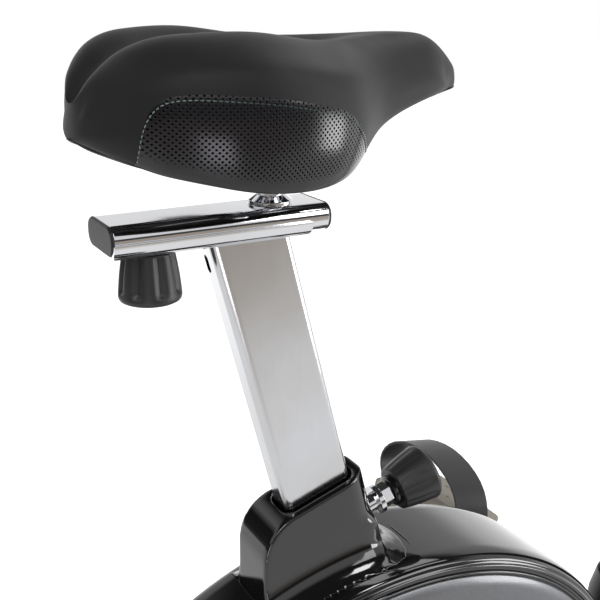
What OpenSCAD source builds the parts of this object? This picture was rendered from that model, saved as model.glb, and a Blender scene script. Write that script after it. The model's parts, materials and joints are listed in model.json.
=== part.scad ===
// Upright exercise bike: magnetic brake, belt drive, sliding saddle on a leaning chrome post.
// Millimetres. Origin on the floor under the middle of the footprint.
// +Z is up, the rider faces -Y, and the rider's left is +X.

/* [Overall] */
// Footprint length, from the transport wheels to the rear stabiliser caps
overall_length = 960; // [940:10:980]
// Length of each stabiliser tube
stabiliser_length = 480; // [400:10:520]
// Diameter of the stabiliser tubes
stabiliser_d = 50; // [46:1:54]
// Width of the base beam
beam_w = 50; // [44:1:54]
// Height of the base beam
beam_h = 58; // [50:1:62]
// Outer diameter of the round end caps
foot_cap_d = 64; // [60:1:66]
// Depth of the flat that each cap stands on
foot_flat = 1; // [0.5:0.1:2]
// Diameter of the transport wheels
wheel_d = 50; // [44:1:52]
// Width of the transport wheels
wheel_w = 16; // [12:1:18]

/* [Seat post] */
// Height of the slider tube's centre above the floor
slider_z = 850; // [840:1:860]
// Lean of the seat post from upright, top towards the rear
post_lean = 15; // [13:0.5:16]
// Fore and aft size of the post tube
post_depth = 62; // [56:1:64]
// Side to side size of the post tube
post_thick = 28; // [24:1:30]
// Wall of the post tube
post_wall = 2; // [1.5:0.1:2.5]
// Outer corner radius of the post tube
post_corner = 7; // [5:0.5:9]
// Length of the post along its lean
post_length = 440; // [420:5:450]
// Place of the post's axis at its top, along Y
post_top_y = 127; // [115:1:135]
// Distance between height holes
hole_pitch = 25; // [20:1:25]
// Diameter of the height holes
hole_d = 10.4; // [9.5:0.1:12]
// Height holes below the one in use
holes_below = 4; // [2:1:4]
// Height holes above the one in use
holes_above = 8; // [4:1:8]
// Distance from the post's top to the hole in use
pin_down = 273; // [268:1:280]
// Sliding clearance between the post and its guide sleeve
post_gap = 0.25; // [0.1:0.05:0.4]
// Wall of the guide sleeve
sleeve_wall = 2.6; // [2:0.1:3]
// Wall of the frame's seat tube
seat_tube_wall = 2.5; // [2:0.1:3]

/* [Slider] */
// Length of the saddle's slider, with its end caps
slider_length = 164; // [150:1:170]
// Width of the slider tube
slider_w = 49; // [44:1:54]
// Height of the slider tube
slider_h = 20; // [18:0.5:22]
// Wall of the slider tube
slider_wall = 2; // [1.5:0.1:2.5]
// Side radius of the slider tube
slider_corner = 9; // [7:0.5:9]
// Place of the slider's rear end along Y
slider_rear_y = 233; // [226:1:234]
// Length of the fixed channel below the slider
channel_length = 146; // [135:1:150]
// Wall of the fixed channel
channel_wall = 2.5; // [2:0.1:3]
// Distance from the slider's rear end to the clamping knob's axis
slider_knob_in = 33.4; // [28:0.2:34]
// Distance from the slider's front end to the saddle pin's axis
saddle_pin_in = 37.4; // [34:0.2:42]
// Diameter of the saddle pin
saddle_pin_d = 20; // [18:0.5:22]

/* [Knobs] */
// Diameter of the slider knob at its free end
slider_knob_d = 44; // [40:1:48]
// Length of the slider knob
slider_knob_length = 31; // [24:1:36]
// Diameter of the height knob at its free end
height_knob_d = 50; // [44:1:52]
// Length of the height knob
height_knob_length = 35; // [30:1:38]
// Flutes round each knob
knob_flutes = 8; // [6:1:10]
// Diameter of the height plunger
plunger_d = 10; // [8:0.1:10]

/* [Saddle] */
// Saddle length
saddle_length = 321; // [290:1:330]
// Saddle width across the wings
saddle_width = 210; // [190:1:230]
// Place of the saddle's rear end along Y
saddle_rear_y = 259; // [258:1:270]
// Height of the saddle's rear lobes above the slider's centre
saddle_rise = 130; // [120:1:135]
// Thickness of the foam and cover
foam_t = 22; // [16:1:26]
// Thickness of the saddle's plastic base pan
pan_t = 3.5; // [2.5:0.1:4.5]
// Diameter of the saddle rails
rail_d = 7; // [6:0.5:8]

/* [Casing] */
// Half length of the oval casing
casing_a = 290; // [284:1:292]
// Half height of the oval casing
casing_c = 251; // [244:1:254]
// Place of the casing's centre along Y
casing_y = 8; // [4:1:12]
// Height of the casing's centre
casing_z = 296; // [292:1:300]
// Half width of the casing at its rim
casing_half = 52; // [48:1:54]
// Wall of the casing and panels
casing_wall = 2.5; // [2:0.1:3]
// Height of each side panel's dome
panel_dome = 12; // [11:0.5:14]

/* [Drive] */
// Crank length, between centres
crank_length = 170; // [165:0.5:175]
// Place of the crank axle along Y
crank_y = -90; // [-96:1:-84]
// Height of the crank axle
crank_z = 300; // [296:1:304]
// Rise of the left crank above level, pointing forward
crank_rise = 43.8; // [35:0.1:55]
// Radius of the drive pulley at its rib tips
pulley_r = 130; // [120:1:134]
// Radius of the flywheel's pulley at its rib tips
small_pulley_r = 22; // [18:0.5:26]
// Place of the flywheel's axle along Y
flywheel_y = 165; // [160:1:168]
// Radius of the flywheel
flywheel_r = 115; // [105:1:118]
// Thickness of the flywheel's rim
flywheel_t = 24; // [18:1:26]
// Number of ribs on the belt
belt_ribs = 6; // [4:1:6]
// Distance between belt ribs
rib_pitch = 2.34; // [2.2:0.01:2.4]
// Diameter of the crank and flywheel axles
axle_d = 17; // [16:0.1:17]
// Outer diameter of the four bearings
bearing_d = 35; // [34:0.5:36]
// Width of the four bearings
bearing_w = 10; // [9:0.5:11]

/* [Pedals] */
// Width of each pedal
pedal_w = 126; // [95:1:130]
// Fore and aft size of each pedal
pedal_depth = 104; // [96:1:110]
// Thickness of each pedal's frame
pedal_t = 26; // [24:1:30]
// Width of each pedal strap
strap_w = 46; // [40:1:50]
// Height of each strap above its pedal
strap_rise = 66; // [56:1:74]
// Nose down tilt of the pedals
pedal_tilt = 11; // [0:1:15]

/* [Mast and handlebar] */
// Place of the mast's axis along Y at the base beam
mast_y = -330; // [-336:1:-326]
// Forward lean of the mast
mast_lean = 2; // [1:0.5:3]
// Outer diameter of the mast socket on the frame
socket_d = 60; // [56:1:62]
// Wall of the mast and its socket
mast_wall = 2; // [1.5:0.1:2.5]
// Height of the handlebar's centre
bar_z = 1120; // [1100:5:1130]
// Diameter of the handlebar
bar_d = 25.4; // [24:0.2:28]
// Half width between the handlebar's side legs
bar_half = 200; // [180:5:220]
// Straight length of each side leg
bar_leg = 110; // [90:5:130]
// Width of the console
console_w = 210; // [190:5:230]
// Depth of the console
console_l = 150; // [130:5:160]

/* [Hidden] */
$fn = 48;

half_length = overall_length / 2;
front_tube_y = -half_length + wheel_d / 2 + 22;
rear_tube_y = half_length - foot_cap_d / 2;
tube_z = foot_cap_d / 2 - foot_flat;
beam_z = tube_z + stabiliser_d / 2;
beam_top = beam_z + beam_h;
bolt_x = stabiliser_d / 2 + 21;

channel_gap = 0.3;
channel_z = slider_z - slider_h / 2 - channel_gap - channel_wall;
post_top_z = channel_z;
slider_front_y = slider_rear_y - slider_length;
slider_knob_y = slider_rear_y - slider_knob_in;
saddle_pin_y = slider_front_y + saddle_pin_in;
cap_flange = 2.2;

sleeve_depth = post_depth + 2 * (post_gap + sleeve_wall);
sleeve_thick = post_thick + 2 * (post_gap + sleeve_wall);
seat_tube_depth = sleeve_depth + 2 * seat_tube_wall;
seat_tube_thick = sleeve_thick + 2 * seat_tube_wall;
seat_tube_top = pin_down - 24;
collar_top = pin_down - 42;

belt_w = belt_ribs * rib_pitch + 2;
belt_x = -41;
belt_t = 4;
belt_gap = 0.3;
plate_x = seat_tube_thick / 2;
plate_t = 4;
flywheel_z = crank_z;
running_gap = 0.05;

pedal_y = crank_y - crank_length * cos(crank_rise);
pedal_rise = crank_length * sin(crank_rise);
crank_in = 80;
crank_t = 14;
pedal_in = crank_in + crank_t + 26;

mast_d = socket_d - 2 * mast_wall - 0.4;
bar_y = mast_y - (bar_z - beam_top) * tan(mast_lean) + mast_d / 2 + 20;
console_tilt = 40;
console_y = mast_y - 20;
console_z = 1225;

arm_gap = 2;
arm_angle = 92;
arm_pivot = [flywheel_y + (flywheel_r + 22) * cos(arm_angle), flywheel_z + (flywheel_r + 22) * sin(arm_angle)];

// ---------- shared shapes ----------

module rounded_rect(w, h, r) {
  square([w - 2 * r, h], center = true);
  square([w, h - 2 * r], center = true);
  for (x = [-1, 1], y = [-1, 1])
    translate([x * (w / 2 - r), y * (h / 2 - r)])
      circle(r);
}

module tube_profile(w, h, r, wall) {
  difference() {
    rounded_rect(w, h, r);
    rounded_rect(w - 2 * wall, h - 2 * wall, max(r - wall, 0.5));
  }
}

// A cylinder along X, from x1 to x2
module x_rod(x1, x2, d) {
  translate([x1, 0, 0])
    rotate([0, 90, 0])
      cylinder(h = x2 - x1, d = d);
}

module x_pipe(x1, x2, d, bore) {
  difference() {
    x_rod(x1, x2, d);
    x_rod(x1 - 1, x2 + 1, bore);
  }
}

// Local frame on the post's axis, s millimetres below its top; local -Y points forward
module on_post(s = 0) {
  translate([0, post_top_y, post_top_z])
    rotate([-post_lean, 0, 0])
      translate([0, 0, -s])
        children();
}

// Local frame of the height pin: local +Z runs forward along the pin, from the post's axis
module on_pin(out = 0) {
  on_post(pin_down)
    rotate([90, 0, 0])
      translate([0, 0, out])
        children();
}

module on_mast(d = 0) {
  translate([0, mast_y, beam_top])
    rotate([mast_lean, 0, 0])
      translate([0, 0, d])
        children();
}

module on_console(z = 0) {
  translate([0, console_y, console_z])
    rotate([-console_tilt, 0, 0])
      translate([0, 0, z])
        children();
}

function smooth(t) = let (c = min(max(t, 0), 1)) c * c * (3 - 2 * c);
function mix(a, b, t) = a + (b - a) * t;
function flip(list) = [for (i = [len(list) - 1 : -1 : 0]) list[i]];

// Quads of a surface with rows rings of cols points; wrap closes the rows as well
function ring_faces(rows, cols, wrap) = [
  for (i = [0 : rows - (wrap ? 1 : 2)], j = [0 : cols - 1])
    let (k = (i + 1) % rows, m = (j + 1) % cols)
      [i * cols + j, i * cols + m, k * cols + m, k * cols + j]
];

// End cap of a layered ring, as quads between its outer and its inner points
function layer_cap(cols, start, reverse) = [
  for (i = [0 : cols / 2 - 2])
    let (a = start + i, b = start + i + 1, c = start + cols - 2 - i, d = start + cols - 1 - i)
      reverse ? [a, d, c, b] : [a, b, c, d]
];

// A knob: a cone of flutes that widens to a domed free end, with a bore for its stud
module fluted_knob(small_d, big_d, length, bore, bore_depth) {
  dome = 3;
  flute_r = big_d * 0.13;
  body = length - dome;
  difference() {
    union() {
      cylinder(h = body - 4, d1 = small_d, d2 = big_d - 1.5);
      translate([0, 0, body - 4])
        cylinder(h = 2.5, d = big_d);
      translate([0, 0, body - 1.5])
        cylinder(h = 1.5, d1 = big_d, d2 = big_d - 3);
      translate([0, 0, body])
        cylinder(h = dome, d1 = big_d - 3, d2 = big_d * 0.55);
    }
    for (k = [0 : knob_flutes - 1])
      rotate([0, 0, 360 * k / knob_flutes])
        translate([small_d / 2 + flute_r * 0.62, 0, -1])
          rotate([0, atan((big_d - small_d) / 2 / body), 0])
            cylinder(h = body - 5, r = flute_r, $fn = 24);
    translate([0, 0, -1])
      cylinder(h = bore_depth + 1, d = bore);
  }
}

// ---------- base and frame ----------

wheel_x = stabiliser_length / 2 - 28;
wheel_back = 22;
front_tube_half = wheel_x - wheel_w / 2 - 8;

module stabiliser(y, half) {
  translate([0, y, tube_z])
    difference() {
      x_pipe(-half, half, stabiliser_d, stabiliser_d - 4);
      for (side = [-1, 1])
        translate([side * bolt_x, 0, -stabiliser_d])
          cylinder(h = 2 * stabiliser_d, d = 8.6);
    }
}

module front_stabiliser() {
  color("#1c1c1e") stabiliser(front_tube_y, front_tube_half);
}

module rear_stabiliser() {
  color("#1c1c1e") stabiliser(rear_tube_y, stabiliser_length / 2);
}

// A round cap on the tube's end at half, with its far end chamfered
module cap_body(half) {
  outer = stabiliser_length / 2 + 14;
  difference() {
    union() {
      x_rod(half - 40, outer - 6, foot_cap_d);
      translate([outer - 6, 0, 0])
        rotate([0, 90, 0])
          cylinder(h = 6, d1 = foot_cap_d, d2 = foot_cap_d - 12);
    }
    x_rod(half - 41, half, stabiliser_d + 0.1);
    translate([half - 41, -foot_cap_d / 2, -tube_z - foot_cap_d])
      cube([100 + outer - half, foot_cap_d, foot_cap_d]);
  }
}

module rear_foot_caps() {
  color("#222224")
    translate([0, rear_tube_y, tube_z])
      for (turn = [0, 1])
        mirror([turn, 0, 0])
          cap_body(stabiliser_length / 2);
}

// One of the two ears that hold a transport wheel's bolt
module wheel_ear(x) {
  translate([x - 3, 0, 0])
    rotate([90, 0, 90])
      linear_extrude(6)
        union() {
          translate([-wheel_back, 0])
            circle(11);
          translate([-wheel_back, -11])
            square([wheel_back, 22]);
        }
}

module front_foot_caps() {
  color("#222224")
    translate([0, front_tube_y, tube_z])
      for (turn = [0, 1])
        mirror([turn, 0, 0])
          difference() {
            union() {
              cap_body(front_tube_half);
              for (ear = [-1, 1])
                wheel_ear(wheel_x + ear * (wheel_w / 2 + 3.5));
            }
            translate([wheel_x - wheel_w / 2 - 0.5, -wheel_back, 0])
              x_rod(0, wheel_w + 1, wheel_d + 2);
            translate([wheel_x, -wheel_back, 0]) {
              x_rod(-wheel_w / 2 - 6.2, wheel_w, 8.1);
              x_rod(wheel_w / 2 + 6.7, 60, 16);
            }
          }
}

module transport_wheel(side) {
  translate([side * wheel_x, front_tube_y - wheel_back, tube_z])
    rotate([0, 90, 0])
      rotate_extrude()
        polygon([
          [4.1, -wheel_w / 2], [12, -wheel_w / 2], [13, -wheel_w / 2 + 3],
          [19, -wheel_w / 2 + 3], [20, -wheel_w / 2], [wheel_d / 2 - 2, -wheel_w / 2],
          [wheel_d / 2, -wheel_w / 2 + 2], [wheel_d / 2, wheel_w / 2 - 2],
          [wheel_d / 2 - 2, wheel_w / 2], [20, wheel_w / 2], [19, wheel_w / 2 - 3],
          [13, wheel_w / 2 - 3], [12, wheel_w / 2], [4.1, wheel_w / 2]
        ]);
}

module left_transport_wheel() {
  color("#2a2a2c") transport_wheel(1);
}

module right_transport_wheel() {
  color("#2a2a2c") transport_wheel(-1);
}

module cradle(y) {
  translate([0, y, tube_z])
    difference() {
      translate([-bolt_x - 14, -20, stabiliser_d / 2 - 12])
        cube([2 * bolt_x + 28, 40, 12 + 3]);
      x_rod(-bolt_x - 20, bolt_x + 20, stabiliser_d + 0.1);
      for (side = [-1, 1])
        translate([side * bolt_x, 0, 0])
          cylinder(h = 2 * stabiliser_d, d = 8.6);
    }
}

// Side outline of the welded plates that carry the crank and the flywheel
module frame_plate_outline() {
  polygon([
    [crank_y - 22, crank_z - 14], [crank_y - 14, crank_z + 24], [-20, crank_z + 60],
    [20, 405], [110, 458], [168, 458], [178, 440], [flywheel_y - 6, 350],
    [flywheel_y + 26, flywheel_z + 10], [flywheel_y + 26, flywheel_z - 14],
    [140, flywheel_z - 60], [60, 150], [30, beam_top - 12], [-90, beam_top - 12],
    [-80, 150], [crank_y - 4, crank_z - 30]
  ]);
}

module main_frame() {
  color("#202022")
    difference() {
      union() {
        translate([0, half_length - foot_cap_d / 2 + 20, beam_z + beam_h / 2])
          rotate([90, 0, 0])
            linear_extrude(rear_tube_y - front_tube_y + 40)
              tube_profile(beam_w, beam_h, 8, 2.5);
        cradle(front_tube_y);
        cradle(rear_tube_y);
        difference() {
          on_post(post_length + 340)
            linear_extrude(post_length + 340 - seat_tube_top)
              rounded_rect(seat_tube_thick, seat_tube_depth, post_corner + sleeve_wall + seat_tube_wall);
          translate([-100, -400, -100])
            cube([200, 600, 100 + beam_top - 1]);
        }
        for (side = [-1, 1])
          translate([side > 0 ? plate_x - 0.5 : -plate_x - plate_t + 0.5, 0, 0])
            rotate([90, 0, 90])
              linear_extrude(plate_t)
                frame_plate_outline();
        translate([0, crank_y, crank_z])
          x_rod(-30, 30, bearing_d + 6);
        for (side = [-1, 1])
          translate([side * (plate_x + 5), flywheel_y, flywheel_z])
            x_rod(-6.5, 6.5, bearing_d + 8);
        difference() {
          on_mast(-4)
            cylinder(h = 250, d = socket_d);
          translate([-50, mast_y - 60, 0])
            cube([100, 120, beam_top - 2]);
        }
      }
      on_post(post_length + 300)
        translate([0, 0, 0])
          linear_extrude(post_length + 300)
            rounded_rect(sleeve_thick, sleeve_depth, post_corner + sleeve_wall);
      on_mast(-1)
        translate([0, 0, 6])
          cylinder(h = 260, d = socket_d - 2 * mast_wall);
      translate([0, crank_y, crank_z])
        x_rod(-40, 40, bearing_d);
      for (side = [-1, 1])
        translate([side * (plate_x + 5), flywheel_y, flywheel_z])
          x_rod(-10, 10, bearing_d);
      on_pin(post_depth / 2)
        cylinder(h = 60, d = 16);
      translate([0, arm_pivot[0], arm_pivot[1]])
        x_rod(-40, 40, 8.1);
      on_mast(200)
        for (turn = [90, 180, 270])
          rotate([0, 0, turn])
            rotate([0, 90, 0])
              cylinder(h = socket_d, d = 8);
      for (end = [front_tube_y, rear_tube_y], side = [-1, 1])
        translate([side * bolt_x, end, tube_z])
          cylinder(h = 200, d = 8.6);
    }
}

module post_sleeve() {
  color("#18181a")
    difference() {
      union() {
        on_post(seat_tube_top + 150)
          linear_extrude(150)
            rounded_rect(sleeve_thick - 0.1, sleeve_depth - 0.1, post_corner + sleeve_wall);
        on_post(seat_tube_top)
          linear_extrude(5)
            rounded_rect(seat_tube_thick, seat_tube_depth, post_corner + 5);
      }
      on_post(seat_tube_top + 160)
        linear_extrude(200)
          rounded_rect(post_thick + 2 * post_gap, post_depth + 2 * post_gap, post_corner);
      on_pin(0)
        cylinder(h = 60, d = 16);
    }
}

module carriage_bolt(x, y) {
  translate([x, y, tube_z]) {
    cylinder(h = stabiliser_d / 2 + 14, d = 8);
    translate([0, 0, -stabiliser_d / 2 - 1])
      cylinder(h = stabiliser_d / 2 + 2, d = 8);
    translate([0, 0, -stabiliser_d / 2 - 3.5])
      cylinder(h = 3, d1 = 12, d2 = 19);
    translate([0, 0, stabiliser_d / 2 + 3.2])
      cylinder(h = 1.6, d = 20);
    translate([0, 0, stabiliser_d / 2 + 4.6])
      cylinder(h = 7, d = 14.5, $fn = 6);
    translate([0, 0, stabiliser_d / 2 + 11])
      cylinder(h = 5, d1 = 12.5, d2 = 5);
  }
}

module wheel_bolt() {
  translate([wheel_x, front_tube_y - wheel_back, tube_z]) {
    x_rod(-wheel_w / 2 - 6, wheel_w / 2 + 8, 8);
    translate([wheel_w / 2 + 9, 0, 0])
      x_rod(-2.2, 2.2, 14);
  }
}

module frame_bolts() {
  color("silver") {
    for (end = [front_tube_y, rear_tube_y], side = [-1, 1])
      carriage_bolt(side * bolt_x, end);
    for (turn = [0, 1])
      mirror([turn, 0, 0])
        wheel_bolt();
    on_mast(200)
      for (turn = [90, 180, 270])
        rotate([0, 0, turn])
          rotate([0, 90, 0]) {
            translate([0, 0, socket_d / 2])
              cylinder(h = 5, d = 13);
            translate([0, 0, socket_d / 2 - 7])
              cylinder(h = 8, d = 8);
          }
  }
}

// ---------- casing ----------

oval_steps = 60;

// One oval ring of points at x, shrunk by the share r and then by the inset
function oval(x, inset, r = 1) = [
  for (i = [0 : oval_steps - 1])
    let (t = 360 * i / oval_steps)
      [x, casing_y + r * (casing_a - inset) * cos(t), casing_z + r * (casing_c - inset) * sin(t)]
];

// Section of the right half of the casing, as [distance from the middle, inset from the crown]:
// crown, rounded shoulder, two moulded beads, the ledge for the side panel, and back inside
casing_section = [
  [0, 0], [34, 0], [42, 1], [48, 3.2], [casing_half, 7],
  [casing_half + 2.4, 8.6], [casing_half + 2.4, 11.4], [casing_half, 13],
  [casing_half + 2.2, 15], [casing_half + 2.2, 17.4], [casing_half, 19],
  [casing_half, 34], [casing_half - casing_wall, 34],
  [casing_half - casing_wall, 10], [46, 6], [38, 3.2], [0, casing_wall]
];

module casing_half_shell(side) {
  points = [for (p = casing_section) each oval(side * p[0], p[1])];
  quads = ring_faces(len(casing_section), oval_steps, true);
  difference() {
    polyhedron(points, side < 0 ? quads : [for (q = quads) flip(q)]);
    on_post(pin_down + 120)
      linear_extrude(140)
        rounded_rect(seat_tube_thick + 3, seat_tube_depth + 3, post_corner + 6);
    translate([-beam_w / 2 - 1, -400, beam_z - 1])
      cube([beam_w + 2, 800, beam_h + 2]);
    for (end = [-1, 1])
      translate([0, casing_y + end * (casing_a - 16), casing_z]) {
        x_rod(-80, 80, 4.2);
        for (face = [-1, 1])
          translate([face * (casing_half + 5), 0, 0])
            x_rod(-5, 5, 8.6);
      }
  }
}

module casing_right() {
  color("#18181a") casing_half_shell(-1);
}

module casing_left() {
  color("#18181a") casing_half_shell(1);
}

panel_shares = [0.06, 0.45, 0.7, 0.88, 1];

function panel_x(share) = casing_half + 0.3 + panel_dome * (1 - pow(share, 4));

module side_panel(side) {
  steps = len(panel_shares);
  edge = 20;
  inner = [for (k = panel_shares) each oval(side * panel_x(k), edge, k)];
  outer = [for (k = [steps - 1 : -1 : 0])
    each oval(side * (panel_x(panel_shares[k]) + casing_wall), edge, panel_shares[k])];
  count = 2 * steps;
  quads = ring_faces(count, oval_steps, false);
  first = [for (i = [oval_steps - 1 : -1 : 0]) i];
  last = [for (i = [0 : oval_steps - 1]) (count - 1) * oval_steps + i];
  faces = concat(quads, [first, last]);
  difference() {
    polyhedron(concat(inner, outer), side < 0 ? faces : [for (f = faces) flip(f)]);
    translate([0, crank_y, crank_z])
      x_rod(-100, 100, 54);
  }
}

module side_panel_right() {
  color("#6e6f72") side_panel(-1);
}

module side_panel_left() {
  color("#6e6f72") side_panel(1);
}

module casing_screws() {
  color("silver")
    for (side = [-1, 1], end = [-1, 1])
      translate([0, casing_y + end * (casing_a - 16), casing_z])
        mirror([side < 0 ? 1 : 0, 0, 0]) {
          x_rod(casing_half - 14, casing_half + 0.1, 4);
          x_rod(casing_half + 0.05, casing_half + 2.4, 8);
        }
}

// Height of the casing's crown at a place along Y
function crown_z(y) = casing_z + casing_c * sqrt(1 - pow((y - casing_y) / casing_a, 2));

crown_gap = 0.3;
collar_half = 24;
collar_front = -52;
collar_rear_y = 124;
collar_bend = 38;

// Side outline of the collar: top square to the post, a round shoulder and an upright rear
module collar_side_outline() {
  top_rear = [99, 613];
  run = 74;
  front_top = [top_rear[0] - run * cos(post_lean), top_rear[1] + run * sin(post_lean)];
  drop = (front_top[1] - crown_z(casing_y) - crown_gap) / cos(post_lean);
  front_y = front_top[0] - drop * sin(post_lean);
  polygon(concat(
    [front_top],
    [for (a = [70 : -10 : 0])
      [collar_rear_y - collar_bend + collar_bend * cos(a), 575 + collar_bend * sin(a)]],
    [for (i = [0 : 10]) let (y = mix(collar_rear_y, front_y, i / 10)) [y, crown_z(y) + 3 * crown_gap]]
  ));
}

// Path round the collar's foot, as [x, y, outward x, outward y, flare]
foot_front_y = 31;
foot_rear_y = collar_rear_y - 1;
foot_path = concat(
  [for (i = [0 : 6]) [-collar_half, mix(foot_rear_y, foot_front_y, i / 6), -1, 0, 24]],
  [for (a = [15 : 15 : 165])
    [-collar_half * cos(a), foot_front_y - collar_half * sin(a), -cos(a), -sin(a), 24 + 12 * sin(a)]],
  [for (i = [0 : 6]) [collar_half, mix(foot_front_y, foot_rear_y, i / 6), 1, 0, 24]]
);

// Height of the foot's underside, which follows the casing's rounded shoulders
function foot_base(x, y) = crown_z(y) + crown_gap - pow(max(abs(x) - 34, 0) / 14, 2) * 2.5;

// A point on the foot's hollow flare; a runs from 0 at its edge to 90 against the collar
function foot_point(p, a) =
  let (out = p[4] * (1 - sin(a)), x = p[0] + p[2] * out, y = p[1] + p[3] * out)
  [x, y, foot_base(x, y) + 24 * (1 - cos(a))];

function foot_under(p, out) =
  let (x = p[0] + p[2] * out, y = p[1] + p[3] * out) [x, y, foot_base(x, y)];

module collar_foot() {
  angles = [0 : 15 : 90];
  ring = [for (p = foot_path) each concat(
    [for (a = angles) foot_point(p, a)],
    [[p[0] - 6 * p[2], p[1] - 6 * p[3], crown_z(p[1]) + 24.3]],
    [for (out = [-6, p[4] * 0.33, p[4] * 0.67]) foot_under(p, out)]
  )];
  cols = len([for (a = angles) a]) + 4;
  rows = len(foot_path);
  first = [for (i = [cols - 1 : -1 : 0]) i];
  last = [for (i = [0 : cols - 1]) (rows - 1) * cols + i];
  polyhedron(ring, concat(ring_faces(rows, cols, false), [first, last]));
}

module seat_collar() {
  color("#111113")
    difference() {
      union() {
        intersection() {
          rotate([90, 0, 90])
            translate([0, 0, -collar_half])
              linear_extrude(2 * collar_half)
                collar_side_outline();
          on_post(pin_down + 150)
            linear_extrude(300)
              union() {
                translate([0, collar_front + collar_half])
                  circle(collar_half);
                translate([-collar_half, collar_front + collar_half])
                  square([2 * collar_half, 150]);
              }
        }
        on_post(collar_top)
          linear_extrude(3)
            tube_profile(post_thick + 13, post_depth + 13, post_corner + 6, 4.5);
        collar_foot();
      }
      on_post(collar_top + 20)
        linear_extrude(40)
          rounded_rect(post_thick + 4, post_depth + 4, post_corner + 2);
      on_post(pin_down + 150)
        linear_extrude(150 + pin_down - collar_top - 5)
          rounded_rect(seat_tube_thick + 1, seat_tube_depth + 1, post_corner + 5.5);
      on_pin(30)
        cylinder(h = 30, d = 19);
    }
}

// ---------- seat post and slider ----------

module seat_post() {
  color("#d8d8d6")
    difference() {
      on_post(post_length)
        linear_extrude(post_length + 20)
          tube_profile(post_thick, post_depth, post_corner, post_wall);
      translate([-50, 0, channel_z])
        cube([100, 300, 60]);
      for (k = [-holes_above : holes_below])
        on_post(pin_down + k * hole_pitch)
          translate([0, -post_depth / 2 - 1, 0])
            rotate([-90, 0, 0])
              cylinder(h = post_wall + 3, d = hole_d);
      on_post(10)
        translate([4, post_depth / 2 - post_wall - 1, 0])
          rotate([-90, 0, 0])
            linear_extrude(post_wall + 2)
              rounded_rect(6, 14, 2.9);
    }
}

module slider_outline(grow) {
  rounded_rect(slider_w + 2 * grow, slider_h + 2 * grow, slider_corner + grow);
}

module slider_channel() {
  lip = 1;
  rear = slider_rear_y - 1;
  color("#d8d8d6")
    difference() {
      intersection() {
        translate([0, rear, slider_z])
          rotate([90, 0, 0])
            linear_extrude(channel_length)
              difference() {
                slider_outline(channel_gap + channel_wall);
                slider_outline(channel_gap);
                translate([-60, -lip])
                  square([120, 60]);
              }
        translate([-60, rear - channel_length / 2, slider_z])
          rotate([90, 0, 90])
            linear_extrude(120)
              rounded_rect(channel_length, 2 * (slider_h / 2 + channel_wall + 1), 6);
      }
      translate([0, slider_knob_y, channel_z - 5])
        cylinder(h = 12, d = 8.3);
    }
}

nut_plate_t = 5;
nut_plate_z = slider_z - slider_h / 2 + slider_wall + 0.3;

module slider_nut_plate() {
  color("#9a9a9c")
    translate([0, slider_knob_y, nut_plate_z])
      difference() {
        translate([-15, -8, 0])
          cube([30, 16, nut_plate_t]);
        translate([0, 0, -1])
          cylinder(h = nut_plate_t + 2, d = 8.15);
      }
}

slide_back = 60;
slide_forward = 10;

module slider_tube() {
  color("#dcdcda") {
    difference() {
      translate([0, slider_rear_y - cap_flange, slider_z])
        rotate([90, 0, 0])
          linear_extrude(slider_length - 2 * cap_flange)
            difference() {
              slider_outline(0);
              slider_outline(-slider_wall);
            }
      translate([-4.6, slider_knob_y - slide_back - 4.6, slider_z - slider_h])
        cube([9.2, slide_back + slide_forward + 9.2, slider_h]);
    }
    translate([0, saddle_pin_y, slider_z + slider_h / 2]) {
      translate([0, 0, -0.5])
        cylinder(h = 3, d = 32);
      translate([0, 0, 2.5])
        cylinder(h = 4, d1 = 32, d2 = saddle_pin_d);
      cylinder(h = 36, d = saddle_pin_d);
    }
  }
}

module slider_end_cap(y, outward) {
  translate([0, y, slider_z])
    rotate([outward * 90, 0, 0]) {
      translate([0, 0, 0.02])
        linear_extrude(cap_flange - 1)
          slider_outline(0.2);
      translate([0, 0, cap_flange - 1])
        linear_extrude(1)
          slider_outline(-0.6);
      translate([0, 0, -6])
        linear_extrude(6.1)
          slider_outline(-slider_wall - 0.05);
    }
}

module slider_end_caps() {
  color("#121214") {
    slider_end_cap(slider_front_y + cap_flange, 1);
    slider_end_cap(slider_rear_y - cap_flange, -1);
  }
}

module slider_knob() {
  color("#17171a")
    translate([0, slider_knob_y, channel_z - 0.6])
      mirror([0, 0, 1])
        fluted_knob(slider_knob_d * 0.83, slider_knob_d, slider_knob_length + 3, 8.02, 18);
}

module slider_knob_stud() {
  color("silver")
    translate([0, slider_knob_y, channel_z - 17])
      cylinder(h = nut_plate_z + nut_plate_t + 1.5 - channel_z + 17, d = 8);
}

module pin_housing() {
  start = sleeve_depth / 2;
  color("#cfcfcd")
    difference() {
      union() {
        on_pin(start + 0.5)
          cylinder(h = 22, d = 15.9);
        on_pin(start + 19)
          cylinder(h = 5, d = 26);
        on_pin(start + 24)
          cylinder(h = 9.5, d = 22, $fn = 6);
      }
      on_pin(0)
        cylinder(h = 100, d = plunger_d + 0.1);
      on_pin(start + 10)
        cylinder(h = 18, d = 13.2);
    }
}

knob_out = 74;

module height_plunger() {
  start = post_depth / 2;
  color("silver") {
    on_pin(start - 5)
      cylinder(h = knob_out - start + 5 + 20, d = plunger_d);
    on_pin(start + 13.2)
      cylinder(h = 3, d = 13);
  }
}

module plunger_spring() {
  start = post_depth / 2 + 16.4;
  turns = 5;
  pitch = 2.6;
  color("#8a8a8c")
    for (k = [0 : turns - 1])
      on_pin(start + 1 + k * pitch)
        rotate_extrude()
          translate([plunger_d / 2 + 0.75, 0])
            circle(0.6);
}

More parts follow.
